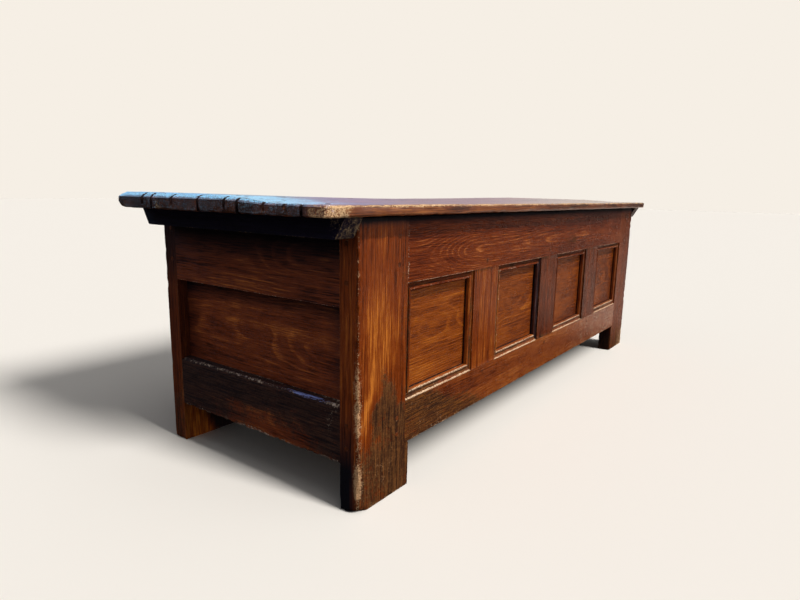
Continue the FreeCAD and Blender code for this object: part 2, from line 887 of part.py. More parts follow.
def make_ends():
    for prefix, side, turn in (("left", -1, lambda s: s), ("right", 1, mirrored_x)):
        save(prefix + "_bottom_rail", turn(left_end_rail(False)))
        save(prefix + "_top_rail", turn(left_end_rail(True)))
        save(prefix + "_end_panel", turn(left_end_panel()))
        pegs = []
        for one in end_frame_pegs(side):
            pegs.append(to_front(one))
            pegs.append(to_back(one))
        save(prefix + "_end_pegs", group(pegs))


def make_floor():
    for index in range(floor_board_count):
        save("floor_board_%d" % (index + 1), floor_board(index))


def make_lid():
    pegs = left_cleat_pegs() + [mirrored_x(one) for one in left_cleat_pegs()]
    cutters = pegs + [seam_chamfer(lid_seam_1), seam_chamfer(lid_seam_2)]
    for side in (-1, 1):
        centre = hinge_centre(side)
        cutters.append(strap_seat(centre))
        cutters += strap_nail_holes(centre)
    plank = whole_lid()
    save("lid_front_board", lid_board(plank, lid_front, lid_seam_1, cutters))
    save("lid_middle_board", lid_board(plank, lid_seam_1, lid_seam_2, cutters))
    save("lid_back_board", lid_board(plank, lid_seam_2, back_y, cutters))
    save("left_cleat", left_cleat())
    save("right_cleat", mirrored_x(left_cleat()))
    save("cleat_pegs", group(cut_flush(pegs, plank)))


def make_hinges():
    leaf_nails = []
    strap_nails = []
    for prefix, side in (("left", -1), ("right", 1)):
        centre = hinge_centre(side)
        save(prefix + "_hinge_leaf", hinge_leaf(centre))
        save(prefix + "_hinge_strap", hinge_strap(centre))
        save(prefix + "_hinge_pin", hinge_pin(centre))
        for spot in leaf_nail_spots(centre):
            leaf_nails.append(nail(spot, vec(0, -1, 0), leaf_nail_length))
        for spot in strap_nail_spots(centre):
            strap_nails.append(nail(spot, vec(0, 0, 1), strap_nail_length))
    save("hinge_leaf_nails", group(leaf_nails))
    save("hinge_strap_nails", group(strap_nails))


os.makedirs("parts", exist_ok=True)
back_rail_nail_holes = leaf_nail_holes(hinge_centre(-1)) + leaf_nail_holes(hinge_centre(1))
make_long_frame("front", True, to_front, [])
make_long_frame("back", False, to_back, back_rail_nail_holes)
make_ends()
make_floor()
make_lid()
make_hinges()
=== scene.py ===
import math

import bmesh
import bpy
from mathutils import Matrix, Vector, noise


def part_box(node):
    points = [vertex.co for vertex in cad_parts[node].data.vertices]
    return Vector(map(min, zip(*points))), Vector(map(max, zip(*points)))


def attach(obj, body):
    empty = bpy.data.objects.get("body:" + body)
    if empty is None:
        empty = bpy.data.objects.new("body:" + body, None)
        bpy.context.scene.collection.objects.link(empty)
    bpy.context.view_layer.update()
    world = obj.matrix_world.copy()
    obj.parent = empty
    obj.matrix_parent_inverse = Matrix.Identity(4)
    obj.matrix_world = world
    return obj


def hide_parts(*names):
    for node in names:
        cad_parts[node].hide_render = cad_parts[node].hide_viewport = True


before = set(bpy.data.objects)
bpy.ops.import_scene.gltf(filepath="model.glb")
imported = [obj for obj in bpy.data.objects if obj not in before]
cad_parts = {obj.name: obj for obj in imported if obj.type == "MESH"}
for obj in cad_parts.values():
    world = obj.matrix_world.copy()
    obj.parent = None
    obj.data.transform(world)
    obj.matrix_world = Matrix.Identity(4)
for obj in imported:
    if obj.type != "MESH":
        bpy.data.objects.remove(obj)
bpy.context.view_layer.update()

# ---------------- sizes of the timbers, in metres
FOOT_SPREAD = 0.012     # how much wider a foot is than the post above it
LID_THICKNESS = 0.021
PANEL_LIP = 0.011       # how far a panel runs into its groove
MOULDING_WIDTH = 0.018
# the parts of the moulding, as four steps of the distance in from its outer arris
OUTER_ARRIS = (-0.0018, -0.0006, 0.0008, 0.0020)
HOLLOW = (0.0010, 0.0024, 0.0102, 0.0124)
BEAD = (0.0112, 0.0128, 0.0158, 0.0172)
PANEL_GAP = (0.0168, 0.0176, 0.0182, 0.0194)

# ---------------- places taken from the frame, in metres
LEFT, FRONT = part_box("front_left_stile")[0].xy
FRONT_STILE_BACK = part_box("front_left_stile")[1].y
STILE_DEPTH = FRONT_STILE_BACK - FRONT
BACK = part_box("back_left_stile")[1].y
RIGHT, BODY_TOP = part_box("back_right_stile")[1].x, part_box("back_right_stile")[1].z
LEFT_STILE_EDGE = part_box("back_left_stile")[1].x - FOOT_SPREAD
RIGHT_STILE_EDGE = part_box("back_right_stile")[0].x + FOOT_SPREAD
OPENING_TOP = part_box("back_top_rail")[0].z
BOTTOM_RAIL_LOW, OPENING_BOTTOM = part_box("back_bottom_rail")[0].z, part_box("back_bottom_rail")[1].z
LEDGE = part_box("left_bottom_rail")[1].z
END_RAIL_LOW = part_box("left_bottom_rail")[0].z
END_OPENING_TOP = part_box("left_top_rail")[0].z
END_MIDDLE = (FRONT + BACK) / 2
LID_LOW, LID_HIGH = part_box("lid_front_board")[0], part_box("lid_back_board")[1]
LID_TOP = LID_LOW.z + LID_THICKNESS
LID_MIDDLE = (LID_LOW.z + LID_HIGH.z) / 2
MUNTINS = [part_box("back_muntin_%d" % index) for index in (1, 2, 3)]
BAY_SIDES = [LEFT_STILE_EDGE] + [corner.x for box in MUNTINS for corner in box] + [RIGHT_STILE_EDGE]
BAYS = [(BAY_SIDES[index], BAY_SIDES[index + 1]) for index in (0, 2, 4, 6)]
PANEL_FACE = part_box("front_panel_1")[0].y


# ---------------- node helpers
FLOAT, COLOUR, VECTOR = "NodeSocketFloat", "NodeSocketColor", "NodeSocketVector"


def shade(code):
    """A colour written as six hex digits, as the linear RGBA that sockets take."""
    channels = []
    for start in (0, 2, 4):
        value = int(code[start:start + 2], 16) / 255
        channels.append(value / 12.92 if value <= 0.04045 else ((value + 0.055) / 1.055) ** 2.4)
    return (*channels, 1.0)


def feed(tree, node, inputs):
    """Links each input of the node that is given a socket, and sets every other that is named."""
    for key, value in inputs.items():
        if isinstance(value, bpy.types.NodeSocket):
            tree.links.new(value, node.inputs[key])
        else:
            node.inputs[key].default_value = value


def put(tree, kind, inputs=None, **settings):
    """A new node with its settings and inputs."""
    made = tree.nodes.new(kind)
    for name, value in settings.items():
        setattr(made, name, value)
    feed(tree, made, inputs or {})
    return made


def calc(tree, operation, first, second=0.0, third=0.0, clamp=False):
    made = put(tree, "ShaderNodeMath", {0: first, 1: second, 2: third}, operation=operation, use_clamp=clamp)
    return made.outputs[0]


def times(tree, first, second):
    return calc(tree, "MULTIPLY", first, second)


def spread(tree, value, low, high, to_low=0.0, to_high=1.0):
    """A smooth step of value from low to high."""
    made = put(tree, "ShaderNodeMapRange", {
        "Value": value, "From Min": low, "From Max": high, "To Min": to_low, "To Max": to_high},
        interpolation_type="SMOOTHSTEP")
    return made.outputs[0]


def blend(tree, factor, first, second):
    made = put(tree, "ShaderNodeMix", {0: factor, 6: first, 7: second}, data_type="RGBA")
    return made.outputs[2]


def stretched(tree, vector, scale):
    made = put(tree, "ShaderNodeVectorMath", {0: vector, 1: scale}, operation="MULTIPLY")
    return made.outputs[0]


def band(tree, value, steps):
    """One where value lies between the inner two of four steps, fading to nothing at the outer two."""
    start, full, still_full, end = steps
    return times(tree, spread(tree, value, start, full), spread(tree, value, still_full, end, 1.0, 0.0))


def weigh(tree, start, terms):
    """Start plus weight times (value less centre) for each of the terms."""
    total = start
    for value, centre, weight in terms:
        total = calc(tree, "MULTIPLY_ADD", calc(tree, "SUBTRACT", value, centre), weight, total)
    return total


def clouds(tree, vector, detail=3.0, roughness=0.55, distortion=0.0, scale=1.0):
    made = put(tree, "ShaderNodeTexNoise", {
        "Vector": vector, "Scale": scale, "Detail": detail, "Roughness": roughness, "Distortion": distortion})
    return made.outputs["Fac"]


def new_group(name, inputs, outputs):
    """An empty group with sockets named by kind; returns it, the values given to it and its output node."""
    tree = bpy.data.node_groups.new(name, "ShaderNodeTree")
    for way, kinds in (("INPUT", inputs), ("OUTPUT", outputs)):
        for kind, labels in kinds.items():
            for label in labels:
                tree.interface.new_socket(name=label, in_out=way, socket_type=kind)
    return tree, tree.nodes.new("NodeGroupInput").outputs, tree.nodes.new("NodeGroupOutput")


# ---------------- shared effects
FIGURE_PARTS = ("Rings", "Tone", "Streaks", "Fibres")
MOULDING_MARKS = ("Wear", "Grime", "Dusk")
FIGURE_INPUTS = {
    VECTOR: ("Grain",), FLOAT: ("Board", "Ring Pitch", "Pith Depth", "Taper", "Wander", "Eye", "Drop")}
WAX_INPUTS = {
    VECTOR: ("Place",), COLOUR: ("Dark", "Middle", "Bright", "Worn", "Dirt", "Crust", "Sheen_Tint"),
    FLOAT: (*FIGURE_PARTS, *MOULDING_MARKS, "Glow", "Painted_Sheen", "Ring Strength", "Streak Strength", "Mottle")}


def eye_bulge(tree, along, across):
    """One at the eye in the figure, dying away round it, further along the grain than across."""
    eye_x, eye_y = times(tree, along, 9.0), times(tree, across, 26.0)
    far = calc(tree, "ADD", times(tree, eye_x, eye_x), times(tree, eye_y, eye_y))
    return calc(tree, "EXPONENT", times(tree, far, -1.0))


def ring_radius(tree, get, place):
    """The distance from the pith behind the board's face, bent by slow and quick waves and by the eye."""
    grain = put(tree, "ShaderNodeSeparateXYZ", {0: get["Grain"]}).outputs
    broad = calc(tree, "SUBTRACT", clouds(tree, stretched(tree, place, (1.6, 6.0, 6.0)), 2.0), 0.5)
    ripple = calc(tree, "SUBTRACT", clouds(tree, stretched(tree, place, (7.0, 26.0, 26.0)), 2.0), 0.5)
    across = calc(tree, "MULTIPLY_ADD", broad, get["Wander"], grain[1])
    depth = calc(tree, "ADD", grain[2], get["Pith Depth"])
    depth = calc(tree, "MULTIPLY_ADD", grain[0], get["Taper"], depth)
    before_eye = spread(tree, grain[0], -0.08, 0.16, 1.0, 0.0)
    depth = calc(tree, "MULTIPLY_ADD", before_eye, get["Drop"], depth)
    radius = calc(tree, "SQRT", calc(tree, "ADD", times(tree, across, across), times(tree, depth, depth)))
    radius = calc(tree, "MULTIPLY_ADD", eye_bulge(tree, grain[0], grain[1]), get["Eye"], radius)
    radius = calc(tree, "MULTIPLY_ADD", broad, get["Wander"], radius)
    return calc(tree, "MULTIPLY_ADD", ripple, times(tree, get["Wander"], 0.25), radius)


def build_board_figure():
    """The figure of a sawn board: growth rings round a pith behind the face, and streaks along the grain."""
    tree, get, out = new_group("board_figure", FIGURE_INPUTS, {FLOAT: FIGURE_PARTS})
    offset = put(tree, "ShaderNodeVectorMath", {
        0: (7.31, 3.17, 5.73), "Scale": get["Board"]}, operation="SCALE").outputs[0]
    place = put(tree, "ShaderNodeVectorMath", {0: get["Grain"], 1: offset}, operation="ADD").outputs[0]
    cycle = calc(tree, "FRACT", calc(tree, "DIVIDE", ring_radius(tree, get, place), get["Ring Pitch"]))
    line = band(tree, cycle, (0.50, 0.84, 0.88, 1.0))
    strong = spread(tree, clouds(tree, stretched(tree, place, (3.0, 12.0, 12.0)), 2.0), 0.35, 0.62, 0.25, 1.0)
    tone = clouds(tree, stretched(tree, place, (1.4, 22.0, 22.0)), 3.0, 0.55, 0.3)
    streaks = clouds(tree, stretched(tree, place, (5.0, 250.0, 250.0)), 4.0, 0.66, 0.2)
    fibres = clouds(tree, stretched(tree, place, (18.0, 520.0, 520.0)), 3.0, 0.65)
    feed(tree, out, {
        "Rings": times(tree, line, strong), "Tone": spread(tree, tone, 0.3, 0.7),
        "Streaks": spread(tree, streaks, 0.27, 0.73), "Fibres": spread(tree, fibres, 0.34, 0.66)})
    return tree


def build_moulding_wear():
    """Pale worn and painted-highlight lines on a moulding's arris and bead; dirt and painted shade in its
    hollow and by the panel.
    """
    tree, get, out = new_group(
        "moulding_wear", {VECTOR: ("Place",), FLOAT: ("Inset", "Rub_And_Highlight")}, {FLOAT: MOULDING_MARKS})
    waver = calc(tree, "SUBTRACT", clouds(tree, get["Place"], 3.0, 0.6, 0.0, 70.0), 0.5)
    inside = calc(tree, "MULTIPLY_ADD", waver, 0.0032, get["Inset"])
    lines = calc(tree, "ADD", band(tree, inside, OUTER_ARRIS), band(tree, inside, BEAD), clamp=True)
    hollow = band(tree, inside, HOLLOW)
    # a painted shade line deep beside the panel, and a little painted shade in the hollow
    depth = put(tree, "ShaderNodeSeparateXYZ", {0: get["Place"]}).outputs[1]
    deep_in = spread(tree, depth, PANEL_FACE - 0.0045, PANEL_FACE - 0.0015)
    gap = times(tree, band(tree, inside, PANEL_GAP), deep_in)
    feed(tree, out, {"Wear": times(tree, lines, get["Rub_And_Highlight"]),
                     "Grime": times(tree, hollow, 0.5),
                     "Dusk": calc(tree, "MAXIMUM", gap, times(tree, hollow, 0.08))})
    return tree


def timber_colour(tree, get, coarse):
    """From dark to bright by mottle, streaks, fibres, rings and glow, which some stains use for painted light
    and shadow.
    """
    mottle = weigh(tree, 0.0, ((get["Tone"], 0.5, 0.45), (coarse, 0.5, 0.5)))
    value = weigh(tree, 0.42, (
        (mottle, 0.0, get["Mottle"]), (get["Streaks"], 0.5, get["Streak Strength"]),
        (get["Fibres"], 0.5, 0.42), (get["Rings"], 0.35, get["Ring Strength"]), (get["Glow"], 0.0, 0.5)))
    base = blend(tree, spread(tree, value, 0.0, 0.5), get["Dark"], get["Middle"])
    return blend(tree, spread(tree, value, 0.5, 1.0), base, get["Bright"])


def soil(tree, get, base, coarse, fine, grit):
    """Lays packed dirt over the base; returns the colour and where the dirt lies."""
    patchy = weigh(tree, 0.0, (
        (get["Grime"], 0.0, 1.0), (coarse, 0.5, 1.2), (get["Streaks"], 0.5, -0.35), (fine, 0.5, 1.1)))
    grimy = times(tree, spread(tree, patchy, 0.26, 0.74), spread(tree, get["Grime"], 0.02, 0.2))
    flecks = weigh(tree, 0.0, ((fine, 0.5, 1.2), (get["Fibres"], 0.5, 0.7), (grit, 0.5, 1.2)))
    dirt = blend(tree, spread(tree, flecks, -0.25, 0.45), get["Dirt"], get["Crust"])
    return blend(tree, times(tree, grimy, 0.86), base, dirt), grimy


def rub_bare(tree, get, base, coarse, fine, grit):
    """Rubs the wax off worn places and leaves pale nicks; returns the colour and where it is bare."""
    rubbed = weigh(tree, 0.0, (
        (get["Wear"], 0.0, 1.0), (fine, 0.5, 1.4), (coarse, 0.5, 1.0), (grit, 0.5, 1.3)))
    bare = times(tree, spread(tree, rubbed, 0.42, 0.75), spread(tree, get["Wear"], 0.03, 0.25))
    dry = blend(tree, spread(tree, grit, 0.36, 0.52), get["Crust"], get["Worn"])
    base = blend(tree, times(tree, bare, 0.88), base, dry)
    nick = times(tree, spread(tree, grit, 0.74, 0.80), spread(tree, coarse, 0.5, 0.7))
    return blend(tree, times(tree, nick, 0.3), base, get["Worn"]), bare


def paint_sheen(tree, get, base, fine):
    """Scratches a painted sheen and reflection, in the sheen tint, into the base."""
    scratchy = weigh(tree, 0.0, ((get["Painted_Sheen"], 0.0, 1.0), (get["Fibres"], 0.5, 0.9), (fine, 0.5, 1.0)))
    sheen_mask = times(tree, spread(tree, scratchy, 0.35, 0.8), spread(tree, get["Painted_Sheen"], 0.02, 0.2))
    return blend(tree, sheen_mask, base, get["Sheen_Tint"])


def build_old_wax():
    """Colour, gloss and relief of old waxed oak, with worn arrises, packed dirt, warm rubbed places, and
    painted shade and sheen.
    """
    tree, get, out = new_group("old_wax", WAX_INPUTS, {
        COLOUR: ("Color",), FLOAT: ("Roughness", "Height", "Polish")})
    coarse = clouds(tree, get["Place"], 4.0, 0.62, 0.4, 22.0)
    fine = clouds(tree, get["Place"], 4.0, 0.68, 0.0, 150.0)
    grit = clouds(tree, get["Place"], 2.0, 0.6, 0.0, 480.0)
    base, grimy = soil(tree, get, timber_colour(tree, get, coarse), coarse, fine, grit)
    base, bare = rub_bare(tree, get, base, coarse, fine, grit)
    # painted shade and blackening: a blend towards blue-black where the stains and mouldings put it
    base = blend(tree, get["Dusk"], paint_sheen(tree, get, base, fine), shade("0b0710"))
    gloss = weigh(tree, 0.30, (
        (coarse, 0.5, 0.22), (grimy, 0.0, 0.30), (bare, 0.0, 0.22), (get["Fibres"], 0.5, -0.06),
        (get["Dusk"], 0.0, 0.4)))
    dull = calc(tree, "MAXIMUM", calc(tree, "MAXIMUM", bare, grimy), get["Dusk"])
    height = weigh(tree, 0.0, (
        (get["Streaks"], 0.0, 0.45), (get["Fibres"], 0.0, 0.4), (get["Rings"], 0.0, 0.25), (coarse, 0.0, 0.7),
        (times(tree, grimy, fine), 0.0, 1.4), (times(tree, bare, fine), 0.0, 1.0)))
    feed(tree, out, {"Color": base, "Roughness": gloss, "Height": height,
                     "Polish": calc(tree, "SUBTRACT", 1.0, dull, clamp=True)})
    return tree


figure_group = build_board_figure()
moulding_group = build_moulding_wear()
wax_group = build_old_wax()


# ---------------- materials
def start_material(name):
    made = bpy.data.materials.new(name)
    made.use_nodes = True
    tree = made.node_tree
    shader = tree.nodes["Principled BSDF"]
    return made, tree, shader


def attribute(tree, name, output="Fac"):
    return put(tree, "ShaderNodeAttribute", attribute_name=name).outputs[output]


def wax_over(tree, shader, wax, polish, shine, varnish, gloss, relief):
    """The shader of waxed timber: its own low shine, a coat where it is polished, and its relief."""
    bump = put(tree, "ShaderNodeBump", {"Height": wax["Height"], "Strength": 1.0, "Distance": relief})
    feed(tree, shader, {
        "Base Color": wax["Color"], "Roughness": wax["Roughness"], "Normal": bump.outputs[0],
        "Specular IOR Level": shine, "Coat Roughness": gloss, "Coat IOR": varnish})
    if polish > 0.0:
        feed(tree, shader, {"Coat Weight": times(tree, wax["Polish"], polish)})


def old_oak(name, dark, middle, bright, worn="c79a72", dirt="1c1208", crust="5f4222", sheen_tint="8a86a0",
            rings=0.4, streaks=0.5, mottle=1.0, pitch=0.005, pith=0.07, taper=0.03, wander=0.02, eye=0.0,
            drop=0.0, polish=0.05, shine=0.16, varnish=1.5, gloss=0.15, relief=0.0009, own_grain=True):
    """Old waxed timber.  With own_grain the board's grain comes from its mesh, else from its place."""
    made, tree, shader = start_material(name)
    place = put(tree, "ShaderNodeTexCoord").outputs["Object"]
    grain = attribute(tree, "grain", "Vector") if own_grain else place
    figure = put(tree, "ShaderNodeGroup", {
        "Grain": grain, "Board": attribute(tree, "board"), "Ring Pitch": pitch, "Pith Depth": pith,
        "Taper": taper, "Wander": wander, "Eye": eye, "Drop": drop}, node_tree=figure_group).outputs
    edges = put(tree, "ShaderNodeGroup", {
        "Place": place, "Inset": attribute(tree, "inset"), "Rub_And_Highlight": attribute(tree, "rub")},
        node_tree=moulding_group).outputs
    values = {"Place": place, "Dark": shade(dark), "Middle": shade(middle), "Bright": shade(bright),
              "Worn": shade(worn), "Dirt": shade(dirt), "Crust": shade(crust), "Sheen_Tint": shade(sheen_tint),
              "Ring Strength": rings, "Streak Strength": streaks, "Mottle": mottle,
              "Glow": attribute(tree, "glow"), "Painted_Sheen": attribute(tree, "frost")}
    for key in MOULDING_MARKS:
        values[key] = calc(tree, "ADD", attribute(tree, key.lower()), edges[key], clamp=True)
    for key in FIGURE_PARTS:
        values[key] = figure[key]
    wax = put(tree, "ShaderNodeGroup", values, node_tree=wax_group).outputs
    wax_over(tree, shader, wax, polish, shine, varnish, gloss, relief)
    return made


def old_iron(name):
    """Hand-forged iron, dark, hammered and a little rusty."""
    made, tree, shader = start_material(name)
    place = put(tree, "ShaderNodeTexCoord").outputs["Object"]
    hammer = clouds(tree, place, 2.0, 0.5, 0.3, 110.0)
    rust = spread(tree, clouds(tree, place, 5.0, 0.65, 0.5, 60.0), 0.48, 0.68)
    bump = put(tree, "ShaderNodeBump", {"Height": hammer, "Strength": 0.8, "Distance": 0.001})
    feed(tree, shader, {
        "Base Color": blend(tree, rust, shade("26221f"), shade("5b2f1b")), "Normal": bump.outputs[0],
        "Roughness": calc(tree, "MULTIPLY_ADD", rust, 0.3, 0.45),
        "Metallic": calc(tree, "MULTIPLY_ADD", rust, -0.7, 0.9)})
    return made


stile_oak = old_oak(
    "waxed_stile_oak", "3a1305", "7c3710", "c6762c", worn="c8a078", dirt="26170a", crust="6c4824", rings=0.06,
    streaks=0.36, mottle=0.6, pitch=0.007, pith=0.16, taper=0.01, wander=0.03)
# its sheen tint is painted as sheen on the far end of the bottom rail and on one moulding
frame_oak = old_oak(
    "waxed_frame_oak", "451706", "7e3c14", "a8622a", worn="e2c8aa", dirt="2a1604", crust="6e4210",
    sheen_tint="a48e76", rings=0.08, streaks=0.16, mottle=0.9, pitch=0.0052, pith=0.075, wander=0.02, polish=0.5,
    shine=0.2)
top_rail_oak = old_oak(
    "waxed_top_rail_oak", "401406", "702f0e", "b46a34", worn="c8a890", rings=0.30, streaks=0.12, mottle=0.6,
    pitch=0.0025, pith=0.06, taper=-0.008, wander=0.010, eye=0.004, drop=0.013, polish=0.03, shine=0.10)
panel_oak = old_oak(
    "waxed_panel_oak", "54220a", "884310", "b26820", rings=0.34, streaks=0.05, mottle=0.6, pitch=0.0040,
    pith=0.10, taper=0.02, wander=0.03, eye=0.016)
# its blue-lilac sheen tint paints the sheen and the blue reflection on the ledge
end_oak = old_oak(
    "dark_end_oak", "2e1109", "70341a", "b4682e", worn="dcc8b4", dirt="1c1010", crust="4a3428",
    sheen_tint="8898dc", rings=0.26, streaks=0.09, mottle=0.85, pitch=0.006, pith=0.09, taper=0.03, wander=0.03,
    eye=0.016)
# its sky-blue sheen tint paints the sky's reflection on the top by the lid's left end
lid_oak = old_oak(
    "worn_lid_oak", "3c1a0c", "7c401c", "a8662f", worn="e0bf94", crust="6a4426", sheen_tint="98d8ff", rings=0.3,
    streaks=0.35, pitch=0.006, pith=0.05, taper=0.02, wander=0.03, polish=1.0, varnish=2.0, gloss=0.3,
    relief=0.0010)
# Dark oak with the blue-black of the shade under the lid painted into its colours.
cleat_oak = old_oak(
    "dark_shaded_cleat_oak", "0c0a1a", "120e24", "1e1a2e", worn="9c8464", dirt="120c0e", crust="4c382c", rings=0.2,
    streaks=0.3)
back_oak = old_oak(
    "unpolished_back_oak", "33190c", "5f3a22", "7f5636", rings=0.35, streaks=0.45, pitch=0.006, pith=0.09,
    taper=0.03, wander=0.04)
floor_oak = old_oak(
    "bare_floor_oak", "4b3320", "7c5c3d", "9c7b56", rings=0.35, streaks=0.45, pitch=0.006, pith=0.06,
    taper=0.03, wander=0.03, polish=0.0)
peg_oak = old_oak(
    "peg_end_grain", "3c1a0a", "5e2c12", "7a4420", rings=0.3, streaks=0.3, pitch=0.0012, pith=0.004,
    taper=0.0, wander=0.002, own_grain=False)
iron = old_iron("forged_iron")


# ---------------- weathered timber
X, Y, Z = 0, 1, 2
GRAIN_X, GRAIN_Y, GRAIN_Z = (X, Z, Y), (Y, Z, X), (Z, X, Y)   # along, across and into the board
NEAR_ARRIS = (0.0015, 0.004, 0.008, 0.014)                    # cuts close to an arris
ARRIS_REACH = 0.03                                            # how far wear reaches from an arris
SMOOTH_BELOW = math.radians(38)                               # the sharpest bend that is shaded smooth
# how pale the moulding's outer arris and bead are on each side of the opening, in the four bays: partly wear,
# partly a painted highlight that is strongest on the upward sills
SIDE_RUB_AND_HIGHLIGHT = {"sill": (0.66, 0.66, 0.66, 0.66), "head": (0.36, 0.36, 0.36, 0.36),
            "left": (0.0, 0.45, 0.0, 0.0), "right": (0.0, 0.0, 0.0, 0.0)}
# the marks on each bay's right-hand moulding: two are warm, and the second is black with a pale painted sheen
RIGHT_SIDE = {"glow": (0.45, 0.0, 0.15, 0.0), "dusk": (0.0, 0.75, 0.0, 0.0), "frost": (0.0, 0.22, 0.0, 0.0)}


class Arris:
    """A worn edge: the coordinates that it keeps, its radius, and how badly it is chipped and rubbed."""

    def __init__(self, fixed, radius, chips=0.0, toe=0.0, rub=0.6):
        self.fixed, self.radius, self.chips, self.toe, self.rub = fixed, radius, chips, toe, rub

    def away(self, point):
        return max(abs(point[axis] - value) for axis, value in self.fixed.items())

    def radius_at(self, point, gap):
        """Its radius there, uneven along it, wider by toe at the floor, and none beyond its reach."""
        here = self.radius * (1.0 + 0.45 * noise.noise(point * 21.0)) + self.toe * math.exp(-point.z / 0.03)
        return here * fade(gap, 0.016, ARRIS_REACH)

    def chip_at(self, point, gap):
        bite = soft(noise.noise(point * 75.0 + Vector((3.1, 0, 0))), 0.05, 0.5)
        return self.chips * bite * fade(gap, 0.002, 0.012)


def soft(value, low, high):
    """A smooth step from nothing at low to one at high."""
    share = min(max((value - low) / (high - low), 0.0), 1.0)
    return share * share * (3 - 2 * share)


def fade(value, low, high):
    """A smooth step from one at low to nothing at high."""
    return 1.0 - soft(value, low, high)


def hump(value, centre, width):
    """One at the centre, dying away on both sides."""
    return math.exp(-((value - centre) / width) ** 2)


def grid_lines(low, high, step):
    """Cuts across a board: close together by its two arrises, and evenly spaced between them."""
    first = [low + gap for gap in NEAR_ARRIS]
    last = [high - gap for gap in reversed(NEAR_ARRIS)]
    if first[-1] >= last[0]:
        return [low + (high - low) * share for share in (0.15, 0.5, 0.85)]
    count = max(1, round((last[0] - first[-1]) / step))
    middle = [first[-1] + (last[0] - first[-1]) * index / count for index in range(1, count)]
    return first + middle + last


def cut_grid(bm, low, high, step, extra):
    for axis in (X, Y, Z):
        lines = grid_lines(low[axis], high[axis], step)
        lines += [value for line_axis, value in extra if line_axis == axis]
        normal = Vector([1.0 if other == axis else 0.0 for other in (X, Y, Z)])
        for value in sorted(lines):
            bmesh.ops.bisect_plane(
                bm, geom=bm.verts[:] + bm.edges[:] + bm.faces[:], dist=1e-6,
                plane_co=normal * value, plane_no=normal)


def rounded(point, low, high, radius, chip):
    """The point brought in to the rounded, chipped outline of low to high; above high only sideways."""
    core = Vector([
        min(max(point[axis], low[axis] + radius), high[axis] - radius) for axis in (X, Y, Z)])
    core.z = point.z if point.z > high.z else core.z
    out = point - core
    if out.length > radius:
        point = core + out.normalized() * radius
    if chip > 0.0 and out.length > 0.0:
        point = point - out.normalized() * chip
    return point


def wear_down(bm, low, high, arrises, dents):
    """Rounds and chips the listed arrises and gives the faces a hand-worked unevenness, always inwards."""
    for vert in bm.verts:
        point = vert.co.copy()
        radius, chip = 0.0, 0.0
        for arris in arrises:
            gap = arris.away(point)
            if gap <= ARRIS_REACH:
                radius = max(radius, arris.radius_at(point, gap))
                chip = max(chip, arris.chip_at(point, gap))
        if radius > 0.0:
            point = rounded(point, low, high, radius, chip)
        wave = 0.5 + 0.5 * noise.noise(vert.co * 9.0)
        vert.co = point - vert.normal * (wave * dents)


def opening_place(point):
    """How far a point is inside the nearest opening, less than nothing outside; which side; which bay."""
    best = (-10.0, "sill", 0)
    for bay, (left, right) in enumerate(BAYS):
        gaps = {"left": point.x - left, "right": right - point.x,
                "sill": point.z - OPENING_BOTTOM, "head": OPENING_TOP - point.z}
        side = min(gaps, key=gaps.get)
        if gaps[side] > best[0]:
            best = (gaps[side], side, bay)
    return best


def bend_at(vert):
    """How sharply the surface turns away at a vertex, and less than nothing in a hollow."""
    bend = 0.0
    for edge in vert.link_edges:
        bend -= (edge.other_vert(vert).co - vert.co).normalized().dot(vert.normal)
    return bend / len(vert.link_edges)


def marks_at(vert, arrises, stain):
    """How worn, dirty, warm and scratched the surface is at a vertex, and its painted shade, blackening and
    sheen.
    """
    bend = bend_at(vert)
    rub = soft(bend, 0.10, 0.40) * 0.46
    for arris in arrises:
        gap = arris.away(vert.co)
        if gap < ARRIS_REACH:
            rub = max(rub, arris.rub * math.exp(-gap / 0.004))
    found = {"wear": rub, "grime": soft(-bend, 0.06, 0.3) * 0.6, "glow": 0.0, "dusk": 0.0, "frost": 0.0}
    for name, value in stain(vert.co).items():
        found[name] += value
    return {name: min(max(value, -1.0 if name == "glow" else 0.0), 1.0) for name, value in found.items()}


def mark_moulding(vert, marks, inset, rub_and_highlight):
    """Where a vertex lies in the nearest moulding, how rubbed and highlighted that is, and the marks on its
    right side.
    """
    gap, side, bay = opening_place(vert.co)
    vert[inset], vert[rub_and_highlight] = gap, SIDE_RUB_AND_HIGHLIGHT[side][bay]
    if side == "right" and 0.0 < gap < MOULDING_WIDTH + 0.001:
        for name, in_bays in RIGHT_SIDE.items():
            vert[marks[name]] = in_bays[bay]


def mark_surface(bm, arrises, grain, origin, seed, stain, framed):
    """Writes each vertex's place in the board's grain and its marks; framed timbers bear the moulding."""
    bm.normal_update()
    layers = bm.verts.layers
    place, board = layers.float_vector.new("grain"), layers.float.new("board")
    marks = {name: layers.float.new(name) for name in ("wear", "grime", "glow", "dusk", "frost")}
    inset, rub_and_highlight = layers.float.new("inset"), layers.float.new("rub")
    for vert in bm.verts:
        vert[place] = Vector([vert.co[axis] for axis in grain]) - origin
        vert[board] = seed
        for name, value in marks_at(vert, arrises, stain).items():
            vert[marks[name]] = value
        vert[inset] = -1.0
        if framed:
            mark_moulding(vert, marks, inset, rub_and_highlight)


def finished_piece(name, bm, finish):
    """An object in the scene with the shape of the bmesh and one material."""
    mesh = bpy.data.meshes.new(name)
    bm.to_mesh(mesh)
    bm.free()
    mesh.materials.append(finish)
    piece = bpy.data.objects.new(name, mesh)
    bpy.context.scene.collection.objects.link(piece)
    return piece


# A stain is a function of a point, in metres.  It gives what is added to the wear, grime and glow, the
# painted shade and blackening, and the painted sheen there, each about nothing to one; a glow below nothing
# is duller, and some glows paint light, some shadow.
def no_stain(_):
    return {}


